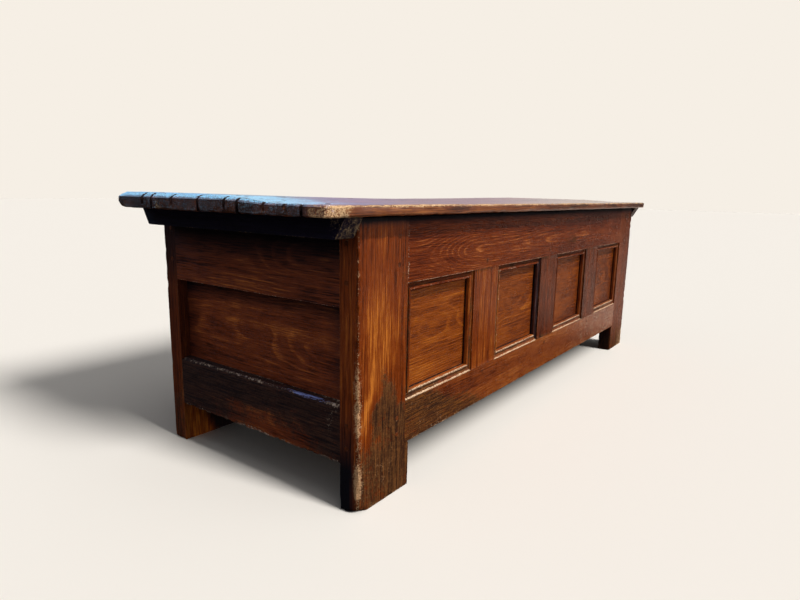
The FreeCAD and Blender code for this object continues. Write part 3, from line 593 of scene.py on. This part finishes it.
def weathered(node, finish, grain, body="chest", step=0.012, arrises=(), extra=(), dents=0.0004,
              seed=0.0, eye=None, stain=no_stain, low=None, high=None, reshape=None, framed=False):
    """A worn copy of one CAD timber, which stands for it."""
    bm = bmesh.new()
    bm.from_mesh(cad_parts[node].data)
    bmesh.ops.remove_doubles(bm, verts=bm.verts[:], dist=1e-5)
    node_low, node_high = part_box(node)
    cut_grid(bm, node_low, node_high, step, extra)
    bm.normal_update()
    wear_down(bm, low or node_low, high or node_high, arrises, dents)
    if reshape:
        reshape(bm)
    middle = (node_low + node_high) / 2
    origin = eye or Vector([middle[axis] for axis in grain])
    mark_surface(bm, arrises, grain, origin, seed, stain, framed)
    for edge in bm.edges:
        edge.smooth = edge.is_manifold and edge.calc_face_angle(0.0) < SMOOTH_BELOW
    for face in bm.faces:
        face.smooth = True
    piece = finished_piece(node + "_worn", bm, finish)
    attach(piece, body)
    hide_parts(node)
    return piece


# ---------------- the body's timbers
near_corner = Arris({X: LEFT, Y: FRONT}, 0.004, chips=0.003, toe=0.014, rub=0.55)
far_corner = Arris({X: RIGHT, Y: FRONT}, 0.003, chips=0.002, toe=0.002)
rear_left_corner = Arris({X: LEFT, Y: BACK}, 0.003, chips=0.002, toe=0.003)
rear_right_corner = Arris({X: RIGHT, Y: BACK}, 0.003, chips=0.002, toe=0.003, rub=0.5)
front_toe = Arris({Z: 0.0, Y: FRONT}, 0.0015, chips=0.0015, rub=0.5)
back_toe = Arris({Z: 0.0, Y: BACK}, 0.002, chips=0.0015, rub=0.4)
left_toe = Arris({Z: 0.0, X: LEFT}, 0.003, chips=0.002, rub=0.5)
right_toe = Arris({Z: 0.0, X: RIGHT}, 0.002, chips=0.0015, rub=0.4)
front_lower = Arris({Z: BOTTOM_RAIL_LOW, Y: FRONT}, 0.001, chips=0.0015, rub=0.5)
back_lower = Arris({Z: BOTTOM_RAIL_LOW, Y: BACK}, 0.003, chips=0.001, rub=0.3)
left_lower = Arris({Z: END_RAIL_LOW, X: LEFT}, 0.003, chips=0.003)
right_lower = Arris({Z: END_RAIL_LOW, X: RIGHT}, 0.003, chips=0.002, rub=0.4)
left_ledge = Arris({Z: LEDGE, X: LEFT}, 0.009, chips=0.003, rub=0.3)
right_ledge = Arris({Z: LEDGE, X: RIGHT}, 0.008, chips=0.002, rub=0.4)
MUNTIN_GLOW = (0.0, -0.42, -0.42)
PANEL_DULLING = 0.14         # from each front panel to the next


def outer_face(point):
    """One on the chest's outer faces, fading to nothing a little way in."""
    inwards = min(point.y - FRONT, BACK - point.y, point.x - LEFT, RIGHT - point.x)
    return fade(inwards, 0.004, 0.012)


def under_lid_shade(point):
    """Painted shade: the dark line close under the lid."""
    return outer_face(point) * soft(point.z, BODY_TOP - 0.019, BODY_TOP - 0.009)


def near_stile_gold(across, height):
    """A golden streak that leans left low down, fainter ones right of it, and a duller left side high up."""
    middle = 0.041 - 0.022 * fade(height, 0.18, 0.25)
    golden = 1.15 * hump(across, middle, 0.011) * soft(height, 0.12, 0.24) * fade(height, 0.37, 0.50)
    golden += 0.40 * hump(across, 0.071, 0.020) * soft(height, 0.20, 0.30) * fade(height, 0.34, 0.46)
    golden += 0.55 * hump(across, 0.106, 0.018) * soft(height, 0.25, 0.29) * fade(height, 0.32, 0.45)
    return golden - 0.25 * soft(height, 0.40, 0.46) * fade(across, 0.018, 0.034)


def near_stile_patch(across, height):
    """A ragged dark patch right of the golden streak."""
    ragged = 0.012 * noise.noise(Vector((5.0, 0.0, height * 22.0)))
    left_side = 0.069 - 0.036 * fade(height, 0.18, 0.23)
    patch = soft(across + ragged, left_side - 0.012, left_side + 0.012) * fade(height + across, 0.311, 0.386)
    return patch * max(fade(across, 0.111, 0.131), fade(height, 0.15, 0.24))


def near_stile_stain(point):
    """Gold and a dark patch on the front face, a grimy foot, an end face that darkens downwards, and painted
    shade under the lid.
    """
    across, height = point.x - LEFT, point.z
    face = fade(point.y - FRONT, 0.004, 0.02)
    foot = fade(height + 0.05 * noise.noise(Vector((point.x * 45.0, 2.0, 0.0))), 0.07, 0.19)
    low_edge = hump(across, 0.0, 0.013) * max(hump(height, 0.215, 0.08), hump(height, 0.070, 0.04))
    right_side = soft(across, 0.101, 0.141)
    end_foot = (1.0 - face) * (0.95 * fade(height, 0.05, 0.24) + 0.15)
    return {"wear": face * (0.20 * fade(height, 0.02, 0.20) + 0.62 * low_edge - 0.4 * right_side),
            "grime": face * max(0.8 * near_stile_patch(across, height), 0.68 * foot, 0.22 * right_side),
            "glow": (face * near_stile_gold(across, height) - 0.16 * right_side
                     - 0.1 * soft(height, 0.40, 0.54)),
            "dusk": max(under_lid_shade(point), end_foot)}


def foot_stain(point):
    foot = fade(point.z, 0.03, 0.16)
    return {"wear": 0.15 * foot, "grime": 0.65 * foot, "glow": -0.4, "dusk": under_lid_shade(point)}


def far_stile_stain(point):
    """Like the other feet, but black on the foot's inner side and rubbed pale towards the outer corner."""
    found = foot_stain(point)
    found["wear"] += 0.4 * fade(point.z, 0.03, 0.16) * soft(point.x, RIGHT - 0.07, RIGHT - 0.03)
    inner = soft(point.y - FRONT, 0.002, 0.006) * fade(point.x - RIGHT_STILE_EDGE, -0.010, 0.0)
    inner *= fade(point.z, BOTTOM_RAIL_LOW, BOTTOM_RAIL_LOW + 0.02)
    found["dusk"] = max(found["dusk"], 0.7 * inner)
    return found


def rear_stile_stain(point):
    """Painted shade on the outer face, darkest at the top; on the foot's inner face painted light by its edge
    and painted shadow beyond.
    """
    end = fade(point.x - LEFT, 0.004, 0.02)
    inner_face = soft(BACK - STILE_DEPTH - point.y, -0.005, -0.001)
    foot = inner_face * fade(point.z, END_RAIL_LOW + 0.02, END_RAIL_LOW + 0.04)
    side = inner_face * (1.0 - foot)
    far = soft(point.x - 0.45 * (0.09 - point.z), LEFT + 0.036, LEFT + 0.052)
    return {"grime": (1.0 - foot) * 0.5 * fade(point.z, 0.05, 0.3),
            "glow": 0.45 * foot * (1.0 - far),
            "dusk": max(end * (0.42 + 0.45 * soft(point.z, 0.33, 0.50)), 0.95 * foot * far, 0.55 * side)}


def top_rail_stain(point):
    """A dark knot right of the middle, a warm left part, a painted shadow band from the lid, and a painted
    shade line close under it.
    """
    down = BODY_TOP - point.z
    knot = hump(point.x, 0.19, 0.07) * hump(down, 0.097, 0.02)
    warm = hump(point.x, -0.42, 0.2) * soft(down, 0.025, 0.065)
    return {"grime": 0.6 * knot, "glow": 0.3 * warm - 0.5 * fade(down, 0.043, 0.059),
            "dusk": under_lid_shade(point)}


def bottom_rail_stain(point):
    """Grimy by the near post along a slanted boundary, then cleaner and warmer towards the far end, which
    takes a painted sheen.
    """
    along, height = point.x - LEFT_STILE_EDGE, point.z - BOTTOM_RAIL_LOW
    grimy = 0.8 * fade(along + 3.0 * (height - 0.03), 0.198, 0.358)
    shoulder = fade(along, 0.004, 0.012)
    return {"wear": 0.12 * fade(along, 0.098, 0.398) - 0.6 * shoulder,
            "grime": max(grimy, 0.3 * fade(height, 0.0, 0.03)),
            "glow": 0.3 * soft(along, 0.248, 0.498), "frost": 0.22 * soft(along, 0.698, 1.198)}


def end_joint(point):
    """One where an end rail meets its posts, where its own edges aren't rubbed."""
    into_rail = min(point.y - FRONT_STILE_BACK, BACK - STILE_DEPTH + 0.005 - point.y)
    return fade(into_rail, 0.003, 0.008)


# Painted shade: a little darker all over and near black towards the top, in the lid's shadow; lighter in the
# middle low down.
def end_top_rail_stain(point):
    return {"wear": -0.6 * end_joint(point),
            "glow": 0.5 * hump(point.y, 0.0, 0.17) * fade(point.z, 0.42, 0.48),
            "dusk": 0.15 + 0.80 * soft(point.z, 0.44, 0.52) * outer_face(point)}


def end_panel_stain(point):
    """A painted sheen in the middle, painted shade under the top rail and by both posts, and scratched low
    down in front.
    """
    scratched = hump(point.y, -0.245, 0.02) * fade(point.z, 0.25, 0.28)
    return {"wear": 0.28 * scratched,
            "glow": 0.45 * hump(point.y, 0.0, 0.18) * hump(point.z, 0.31, 0.06),
            "dusk": (0.5 * soft(point.z, END_OPENING_TOP - 0.05, END_OPENING_TOP - 0.01)
                     + 0.45 * soft(abs(point.y - END_MIDDLE), 0.19, 0.25))}


def end_rail_stain(point):
    """Near black, with a rubbed brown middle low down, a scratched ledge with a painted lilac sheen and, in
    one part, a painted blue reflection, and scratches by the near post.
    """
    worn_middle = hump(point.y, -0.04, 0.13) * fade(point.z, 0.12, 0.17)
    low_edge = fade(point.z, END_RAIL_LOW + 0.004, END_RAIL_LOW + 0.03)
    ledge = fade(max(LEDGE - point.z, point.x - LEFT - 0.006), 0.001, 0.006)
    blue_reflection = hump(point.y, -0.165, 0.045)
    scratched = hump(point.y, -0.225, 0.026) * soft(point.z, 0.11, 0.15)
    rubbed = 0.40 * ledge * (1.0 - blue_reflection) + 0.24 * scratched + 0.10 * low_edge
    return {"wear": rubbed - 0.6 * end_joint(point),
            "grime": 0.85 - 0.65 * worn_middle - 0.1 * low_edge,
            "glow": 0.25 * worn_middle,
            "dusk": 0.45 - 0.4 * worn_middle - 0.3 * ledge,
            "frost": ledge * (0.10 + 0.85 * blue_reflection)}


def even_glow(amount):
    """A stain that warms a whole timber, or dulls it where the amount is below nothing."""
    def stain(_):
        return {"glow": amount}
    return stain


def edge_cuts(axis, value, away):
    """Cuts in the timber beside an opening's edge, so that wear can follow the moulding's outer arris."""
    return [(axis, value + away * gap) for gap in (0.0015, 0.004)]


def build_stiles():
    edges = edge_cuts(X, LEFT_STILE_EDGE, -1) + [(X, RIGHT_STILE_EDGE + 0.0015)]
    left_high = Vector((LEFT_STILE_EDGE + FOOT_SPREAD, FRONT_STILE_BACK, BODY_TOP))
    right_low = Vector((RIGHT_STILE_EDGE - FOOT_SPREAD, FRONT, 0.0))
    weathered("front_left_stile", stile_oak, GRAIN_Z, step=0.008, extra=edges, seed=0.3,
              arrises=(near_corner, front_toe, left_toe), stain=near_stile_stain, high=left_high, framed=True)
    weathered("front_right_stile", stile_oak, GRAIN_Z, extra=edges, seed=1.7,
              arrises=(far_corner, front_toe, right_toe), stain=far_stile_stain, low=right_low, framed=True)
    weathered("back_left_stile", stile_oak, GRAIN_Z, seed=2.9,
              arrises=(rear_left_corner, back_toe, left_toe), stain=rear_stile_stain)
    weathered("back_right_stile", stile_oak, GRAIN_Z, seed=4.1,
              arrises=(rear_right_corner, back_toe, right_toe), stain=foot_stain)


def build_front_frame():
    lines = edge_cuts(Z, OPENING_TOP, 1) + edge_cuts(Z, OPENING_BOTTOM, -1)
    eye = Vector((LEFT + 0.246, BODY_TOP - 0.083, FRONT))
    weathered("front_top_rail", top_rail_oak, GRAIN_X, step=0.010, extra=lines,
              seed=0.9, eye=eye, stain=top_rail_stain, framed=True)
    weathered("front_bottom_rail", frame_oak, GRAIN_X, step=0.010, extra=lines,
              seed=5.3, arrises=(front_lower,), stain=bottom_rail_stain, framed=True)
    for index, (low, high) in enumerate(MUNTINS):
        weathered("front_muntin_%d" % (index + 1), stile_oak, GRAIN_Z, seed=7.0 + index,
                  extra=edge_cuts(X, low.x, 1) + edge_cuts(X, high.x, -1), framed=True,
                  stain=even_glow(MUNTIN_GLOW[index]))


def build_back_frame():
    for name in ("back_top_rail", "back_bottom_rail"):
        weathered(name, back_oak, GRAIN_X, step=0.03, seed=11.0 + len(name),
                  arrises=(back_lower,))
    for index in range(1, 4):
        weathered("back_muntin_%d" % index, back_oak, GRAIN_Z, step=0.03,
                  seed=14.0 + index)
    for index in range(1, 5):
        weathered("back_panel_%d" % index, back_oak, GRAIN_X, step=0.03,
                  seed=30.0 + 1.7 * index)


def panel_stain(low, high, dulling):
    """Painted shade and some dirt by its edges, warm low down on the left, painted light near the top, and
    duller as a whole.
    """
    def stain(point):
        gap = min(point.x - low.x, high.x - point.x, point.z - low.z, high.z - point.z) - PANEL_LIP
        edge = fade(gap, -0.004, 0.010)
        warm = hump(point.x, low.x + 0.05, 0.06) * hump(point.z, low.z + 0.04, 0.05)
        # painted light: lighter near the top
        lit = 0.22 * soft(point.z, high.z - 0.09, high.z - 0.03)
        return {"grime": 0.25 * edge, "glow": 0.5 * warm + lit - dulling, "dusk": 0.08 * edge}
    return stain


def build_front_panels():
    for index in range(1, 5):
        low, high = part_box("front_panel_%d" % index)
        eye = Vector((low.x + 0.10, (low.z + high.z) / 2 + 0.02, FRONT))
        weathered("front_panel_%d" % index, panel_oak, GRAIN_X, dents=0.0006, eye=eye,
                  seed=20.0 + 1.3 * index, stain=panel_stain(low, high, PANEL_DULLING * (index - 1)),
                  framed=True)


def build_ends():
    sides = (("left", left_ledge, left_lower, 0.0), ("right", right_ledge, right_lower, 7.0))
    for side, ledge, lower, shift in sides:
        weathered(side + "_top_rail", end_oak, GRAIN_Y, seed=41.0 + shift,
                  stain=end_top_rail_stain)
        weathered(side + "_bottom_rail", end_oak, GRAIN_Y, step=0.009, seed=43.0 + shift,
                  arrises=(ledge, lower), stain=end_rail_stain)
        weathered(side + "_end_panel", end_oak, GRAIN_Y, seed=45.0 + shift,
                  stain=end_panel_stain)


def build_floor_boards():
    for index in range(1, 8):
        weathered("floor_board_%d" % index, floor_oak, GRAIN_Y, step=0.04,
                  seed=60.0 + 1.9 * index)


# ---------------- the lid
lid_left_under = Arris({X: LID_LOW.x, Z: LID_LOW.z}, 0.003, chips=0.003, rub=0.4)
lid_right_end = Arris({X: LID_HIGH.x, Z: LID_TOP}, 0.004, chips=0.003)
lid_front_top = Arris({Y: LID_LOW.y, Z: LID_TOP}, 0.0055, chips=0.002, rub=0.85)
lid_front_under = Arris({Y: LID_LOW.y, Z: LID_LOW.z}, 0.003, chips=0.0015, rub=0.3)
SPLIT_CUTS = (0.0007, 0.0024, 0.0060)       # cuts on both sides of a split
SPLIT_DROP, SPLIT_NOTCH = 0.009, 0.007      # how far a split sinks into the top, and into the end
ROUGH_END = 0.16                            # the roughened part of the lid, from its left end
LIFTED_ARRIS, ARRIS_LIFT = 0.0135, 0.0055   # the part by the left end that is lifted, and by how much
# each split's place across the lid, how far it runs in from the end, and how far down from the top
SPLITS = ((0.208, 0.07, 0.010), (0.174, 0.05, 0.03), (0.103, 0.06, 0.009), (0.017, 0.09, 0.03),
          (-0.063, 0.12, 0.013), (-0.101, 0.05, 0.03), (-0.170, 0.07, 0.012), (-0.222, 0.05, 0.008),
          (-0.262, 0.04, 0.03))


def split_lines():
    """Cuts for the splits that run in from the left end of the lid, and close cuts across its end."""
    lines = [(X, LID_LOW.x + 0.005 * index) for index in range(1, 12)]
    lines += [(Z, LID_TOP - gap) for gap in NEAR_ARRIS[:3]]
    for place, _, _ in SPLITS:
        lines += [(Y, place + side * gap) for side in (-1, 1) for gap in SPLIT_CUTS]
    return lines


def split_depth(point, inner=0.0006, outer=0.0023):
    """How deep the nearest split is at a point of the lid: one within inner of it, nothing beyond outer."""
    deep = 0.0
    for place, length, reach in SPLITS:
        run = fade(point.x - LID_LOW.x, length * 0.3, length)
        run *= fade(LID_TOP - point.z, reach - 0.003, reach + 0.003)
        deep = max(deep, run * fade(abs(point.y - place), inner, outer))
    return deep


def bulge_rear_end(point, along):
    """How far the rear corner of the lid's left end is worn back, most at the top and the underside."""
    behind = fade(LID_HIGH.y - point.y, 0.0, 0.024)
    bulge = (point.z - LID_MIDDLE) / (LID_HIGH.z - LID_MIDDLE)
    return 0.010 * behind * bulge * bulge * fade(along, 0.014, 0.030)


def open_splits(bm):
    """Opens the splits in the end of the lid and roughens its end grain."""
    for vert in bm.verts:
        point = vert.co
        along = point.x - LID_LOW.x
        if along > ROUGH_END:
            continue
        deep = split_depth(point)
        if point.z > LID_LOW.z + 0.006:
            point.z -= SPLIT_DROP * deep
        if along < LIFTED_ARRIS and point.z > LID_TOP - 0.004:
            point.z += ARRIS_LIFT * soft(point.y, -0.18, -0.06) * fade(along, 0.004, LIFTED_ARRIS)
        point.x += bulge_rear_end(point, along)
        if along < 0.006:
            ragged = 0.5 + 0.5 * noise.noise(Vector((0.0, point.y * 60.0, point.z * 25.0)))
            point.x += 0.0028 * ragged + SPLIT_NOTCH * deep
        elif along < 0.05:
            point.z -= 0.0012 * (0.5 + 0.5 * noise.noise(point * 70.0))


def lid_stain(point):
    """The sky's painted reflection on the top by the left end, behind a rough, rubbed corner; painted shade
    in the splits; the end grain dark.
    """
    along, from_front = point.x - LID_LOW.x, point.y - LID_LOW.y
    end = fade(along, 0.003, 0.010)
    top = soft(point.z, LID_TOP - 0.003, LID_TOP) * soft(along, 0.0025, 0.0060)
    corner = fade(along, 0.045, 0.075) * fade(point.y, -0.285, -0.262)
    behind = soft(point.y, -0.262, -0.24)
    knot = hump(point.y, 0.16, 0.012) * end
    front = fade(from_front, 0.004, 0.010)
    # a pale line along the front top arris, worn and painted highlight
    line = fade(max(from_front, LID_TOP - point.z), 0.003, 0.006)
    lips, crack = split_depth(point, 0.005, 0.009), split_depth(point, 0.0018, 0.0048)
    sky_reflection = max(0.84 * top * behind * fade(along, 0.03, 0.26), 0.17 * end * (1.0 - corner))
    return {"wear": 0.55 * corner + 0.5 * knot + 0.24 * line - lips,
            "grime": 0.35 * end * (1.0 - top) * (1.0 - corner),
            "glow": (0.6 * corner - 0.4 * end * (1.0 - corner)
                     + front * (0.45 - 1.1 * soft(point.x, -0.3, 0.6))),
            "dusk": max(crack, 0.35 * end * behind * (1.0 - top) * (1.0 - knot)),
            "frost": (1.0 - crack) * sky_reflection}


# Worn at the front end, and painted shade on the rest, under the lid.
def cleat_stain(point):
    front = fade(point.y - LID_LOW.y, 0.03, 0.06)
    return {"wear": 0.38 * front, "dusk": 0.3 * (1.0 - front)}


def build_lid():
    arrises = (lid_left_under, lid_right_end, lid_front_top, lid_front_under)
    lines, high = split_lines(), Vector((LID_HIGH.x, LID_HIGH.y, LID_TOP))
    for index, name in enumerate(("lid_front_board", "lid_middle_board", "lid_back_board")):
        weathered(name, lid_oak, GRAIN_X, body="lid", arrises=arrises, extra=lines, dents=0.0008,
                  seed=70.0 + 2.3 * index, stain=lid_stain, reshape=open_splits, low=LID_LOW, high=high)
    for side in ("left", "right"):
        weathered(side + "_cleat", cleat_oak, GRAIN_Y, body="lid", seed=80.0 + len(side),
                  stain=cleat_stain)


# ---------------- nodes that keep their CAD shape
def finish_node(node, finish):
    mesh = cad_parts[node].data
    mesh.materials.clear()
    mesh.materials.append(finish)


def finish_kept_nodes():
    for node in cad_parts:
        if "hinge" in node:
            finish_node(node, iron)
        if node.endswith("pegs"):
            finish_node(node, peg_oak)


build_stiles()
build_front_frame()
build_back_frame()
build_front_panels()
build_ends()
build_floor_boards()
build_lid()
finish_kept_nodes()

# ---------------- stage, light and camera
CREAM = shade("f6efe5")
FLOOR_HALF_SIZE = 30.0
# the floor's shade under the front rail is painted into its colour, in this band
SHADE_DEPTH = 0.84                        # of the tight shade on the floor under the front rail
UNDER_FRONT = (FRONT + 0.030, FRONT + 0.138, FRONT + 0.150, FRONT + 0.330)
UNDER_LENGTH = (LEFT_STILE_EDGE - 0.02, LEFT_STILE_EDGE + 0.05,
                RIGHT_STILE_EDGE - 0.03, RIGHT_STILE_EDGE + 0.03)
# the studio sky in reflections: from the first heading to the second, in degrees, it turns to the colour
SKY_LEFT = "74bcff"
SKY_TURNS = ((33, 38, "b4e2ff"), (42, 47, "b8b4dc"), (48, 56, "c2b4c2"), (60, 72, "f6efe5"))
LOW_HEADINGS, LOW_HEIGHTS = (2, 20, 78, 93), (0.3, 0.7)
HIGH_HEADINGS, HIGH_HEIGHTS = (-75, -55, 5, 20), (0.35, 0.5, 0.9, 0.97)

# each lamp's name, strength, direction, width in degrees and colour
CHEST_LAMPS = (
    ("key", 3.6, (-0.20, 0.44, -0.90), 2.0, "fff4e6"), ("fill", 1.1, (-0.35, 0.85, -0.25), 25.0, "fff6ee"),
    ("left", 0.55, (0.75, 0.10, -0.65), 60.0, "fff2ea"), ("sky", 0.42, (0.05, 0.15, -1.0), 170.0, "e8ecf4"))
FLOOR_LAMPS = (
    ("ground", 4.15, (-0.055, 0.83, -0.563), 14.0, "ffffff"),
    ("overhead", 0.42, (-0.04, 0.53, -0.85), 50.0, "ffffff"))

SENSOR_WIDTH, LENS, SHIFT = 36.0, 25.893, (-0.0054, 0.0054)
CAMERA_PLACE = (-1.6039, -0.9494, 0.6070)
CAMERA_YAW, CAMERA_PITCH, CAMERA_ROLL = (math.radians(turn) for turn in (53.893, 10.964, 1.105))


def pale_floor():
    """Cream to the camera with a painted shade under the front rail, dark and bright to the right in gloss,
    else grey.
    """
    made, tree, shader = start_material("pale_floor")
    path = put(tree, "ShaderNodeLightPath").outputs
    place = put(tree, "ShaderNodeSeparateXYZ", {0: put(tree, "ShaderNodeTexCoord").outputs["Object"]}).outputs
    bright = times(tree, spread(tree, place[0], 0.7, 1.4), spread(tree, place[1], -2.0, -1.0))
    shine = blend(tree, bright, shade("1c1614"), shade("d0b8a8"))
    lit = blend(tree, path["Is Glossy Ray"], shade("7d7a76"), shine)
    # painted shade on the floor under the front rail, seen by the camera only
    painted_shade = times(tree, band(tree, place[1], UNDER_FRONT), band(tree, place[0], UNDER_LENGTH))
    seen = blend(tree, times(tree, painted_shade, SHADE_DEPTH), CREAM, shade("161616"))
    feed(tree, shader, {"Base Color": blend(tree, path["Is Camera Ray"], lit, seen),
                        "Roughness": 0.9, "Specular IOR Level": 0.0})
    return made


def build_floor():
    bm = bmesh.new()
    bmesh.ops.create_grid(bm, x_segments=4, y_segments=4, size=FLOOR_HALF_SIZE)
    floor = finished_piece("studio_floor", bm, pale_floor())
    return floor


def mirrored_sky(tree):
    """What gloss sees: a plain sky, bluer to the left, dark low down ahead and pale blue high up."""
    direction = put(tree, "ShaderNodeSeparateXYZ", {
        0: put(tree, "ShaderNodeTexCoord").outputs["Generated"]}).outputs
    heading, height = calc(tree, "ARCTAN2", direction[0], direction[1]), direction[2]
    sky = shade(SKY_LEFT)
    for start, end, tint in SKY_TURNS:
        turned = spread(tree, heading, math.radians(start), math.radians(end))
        sky = blend(tree, turned, sky, shade(tint))
    low = band(tree, heading, [math.radians(turn) for turn in LOW_HEADINGS])
    low = times(tree, low, spread(tree, height, *LOW_HEIGHTS, 1.0, 0.0))
    high = band(tree, heading, [math.radians(turn) for turn in HIGH_HEADINGS])
    high = times(tree, high, band(tree, height, HIGH_HEIGHTS))
    return blend(tree, high, blend(tree, low, shade("241f1e"), sky), shade("8ccaff"))


def build_world():
    world = bpy.data.worlds.new("studio")
    bpy.context.scene.world = world
    world.use_nodes = True
    tree = world.node_tree
    tree.nodes.clear()
    path = put(tree, "ShaderNodeLightPath").outputs
    soft_light = put(tree, "ShaderNodeBackground", {0: shade("e8ecf4"), 1: 0.18}).outputs[0]
    shine = put(tree, "ShaderNodeBackground", {0: mirrored_sky(tree), 1: 1.0}).outputs[0]
    seen = put(tree, "ShaderNodeBackground", {0: CREAM, 1: 1.0}).outputs[0]
    mixed = put(tree, "ShaderNodeMixShader", {0: path["Is Glossy Ray"], 1: soft_light, 2: shine}).outputs[0]
    mixed = put(tree, "ShaderNodeMixShader", {0: path["Is Camera Ray"], 1: mixed, 2: seen}).outputs[0]
    put(tree, "ShaderNodeOutputWorld", {"Surface": mixed})


def add_sun(name, strength, towards, width, colour):
    light = bpy.data.lights.new(name, "SUN")
    light.energy = strength
    light.angle = math.radians(width)
    light.color = shade(colour)[:3]
    lamp = bpy.data.objects.new(name, light)
    bpy.context.scene.collection.objects.link(lamp)
    lamp.rotation_mode = "QUATERNION"
    lamp.rotation_quaternion = Vector(towards).normalized().to_track_quat("-Z", "Y")
    return lamp


def add_lamps(lamps, receivers_name, floor, floor_state):
    """Lamps that light the floor alone, or everything but the floor."""
    receivers = bpy.data.collections.new(receivers_name)
    receivers.objects.link(floor)
    receivers.collection_objects[0].light_linking.link_state = floor_state
    for lamp in lamps:
        add_sun(*lamp).light_linking.receiver_collection = receivers


def build_lights(floor):
    """A high key lamp and fills for the chest; a low front lamp and one overhead lay its shadow."""
    add_lamps(CHEST_LAMPS, "all_but_floor", floor, "EXCLUDE")
    add_lamps(FLOOR_LAMPS, "only_floor", floor, "INCLUDE")


def build_camera():
    data = bpy.data.cameras.new("camera")
    data.sensor_width, data.lens = SENSOR_WIDTH, LENS
    data.shift_x, data.shift_y = SHIFT
    camera = bpy.data.objects.new("camera", data)
    ahead = Vector((math.sin(CAMERA_YAW) * math.cos(CAMERA_PITCH),
                    math.cos(CAMERA_YAW) * math.cos(CAMERA_PITCH), -math.sin(CAMERA_PITCH)))
    level = Vector((math.cos(CAMERA_YAW), -math.sin(CAMERA_YAW), 0.0))
    upright = level.cross(ahead)
    side = math.cos(CAMERA_ROLL) * level + math.sin(CAMERA_ROLL) * upright
    top = -math.sin(CAMERA_ROLL) * level + math.cos(CAMERA_ROLL) * upright
    turn = Matrix((side, top, -ahead)).transposed().to_4x4()
    camera.matrix_world = Matrix.Translation(CAMERA_PLACE) @ turn
    bpy.context.scene.collection.objects.link(camera)
    bpy.context.scene.camera = camera


build_world()
build_lights(build_floor())
build_camera()
bpy.context.scene.view_settings.view_transform = "Standard"
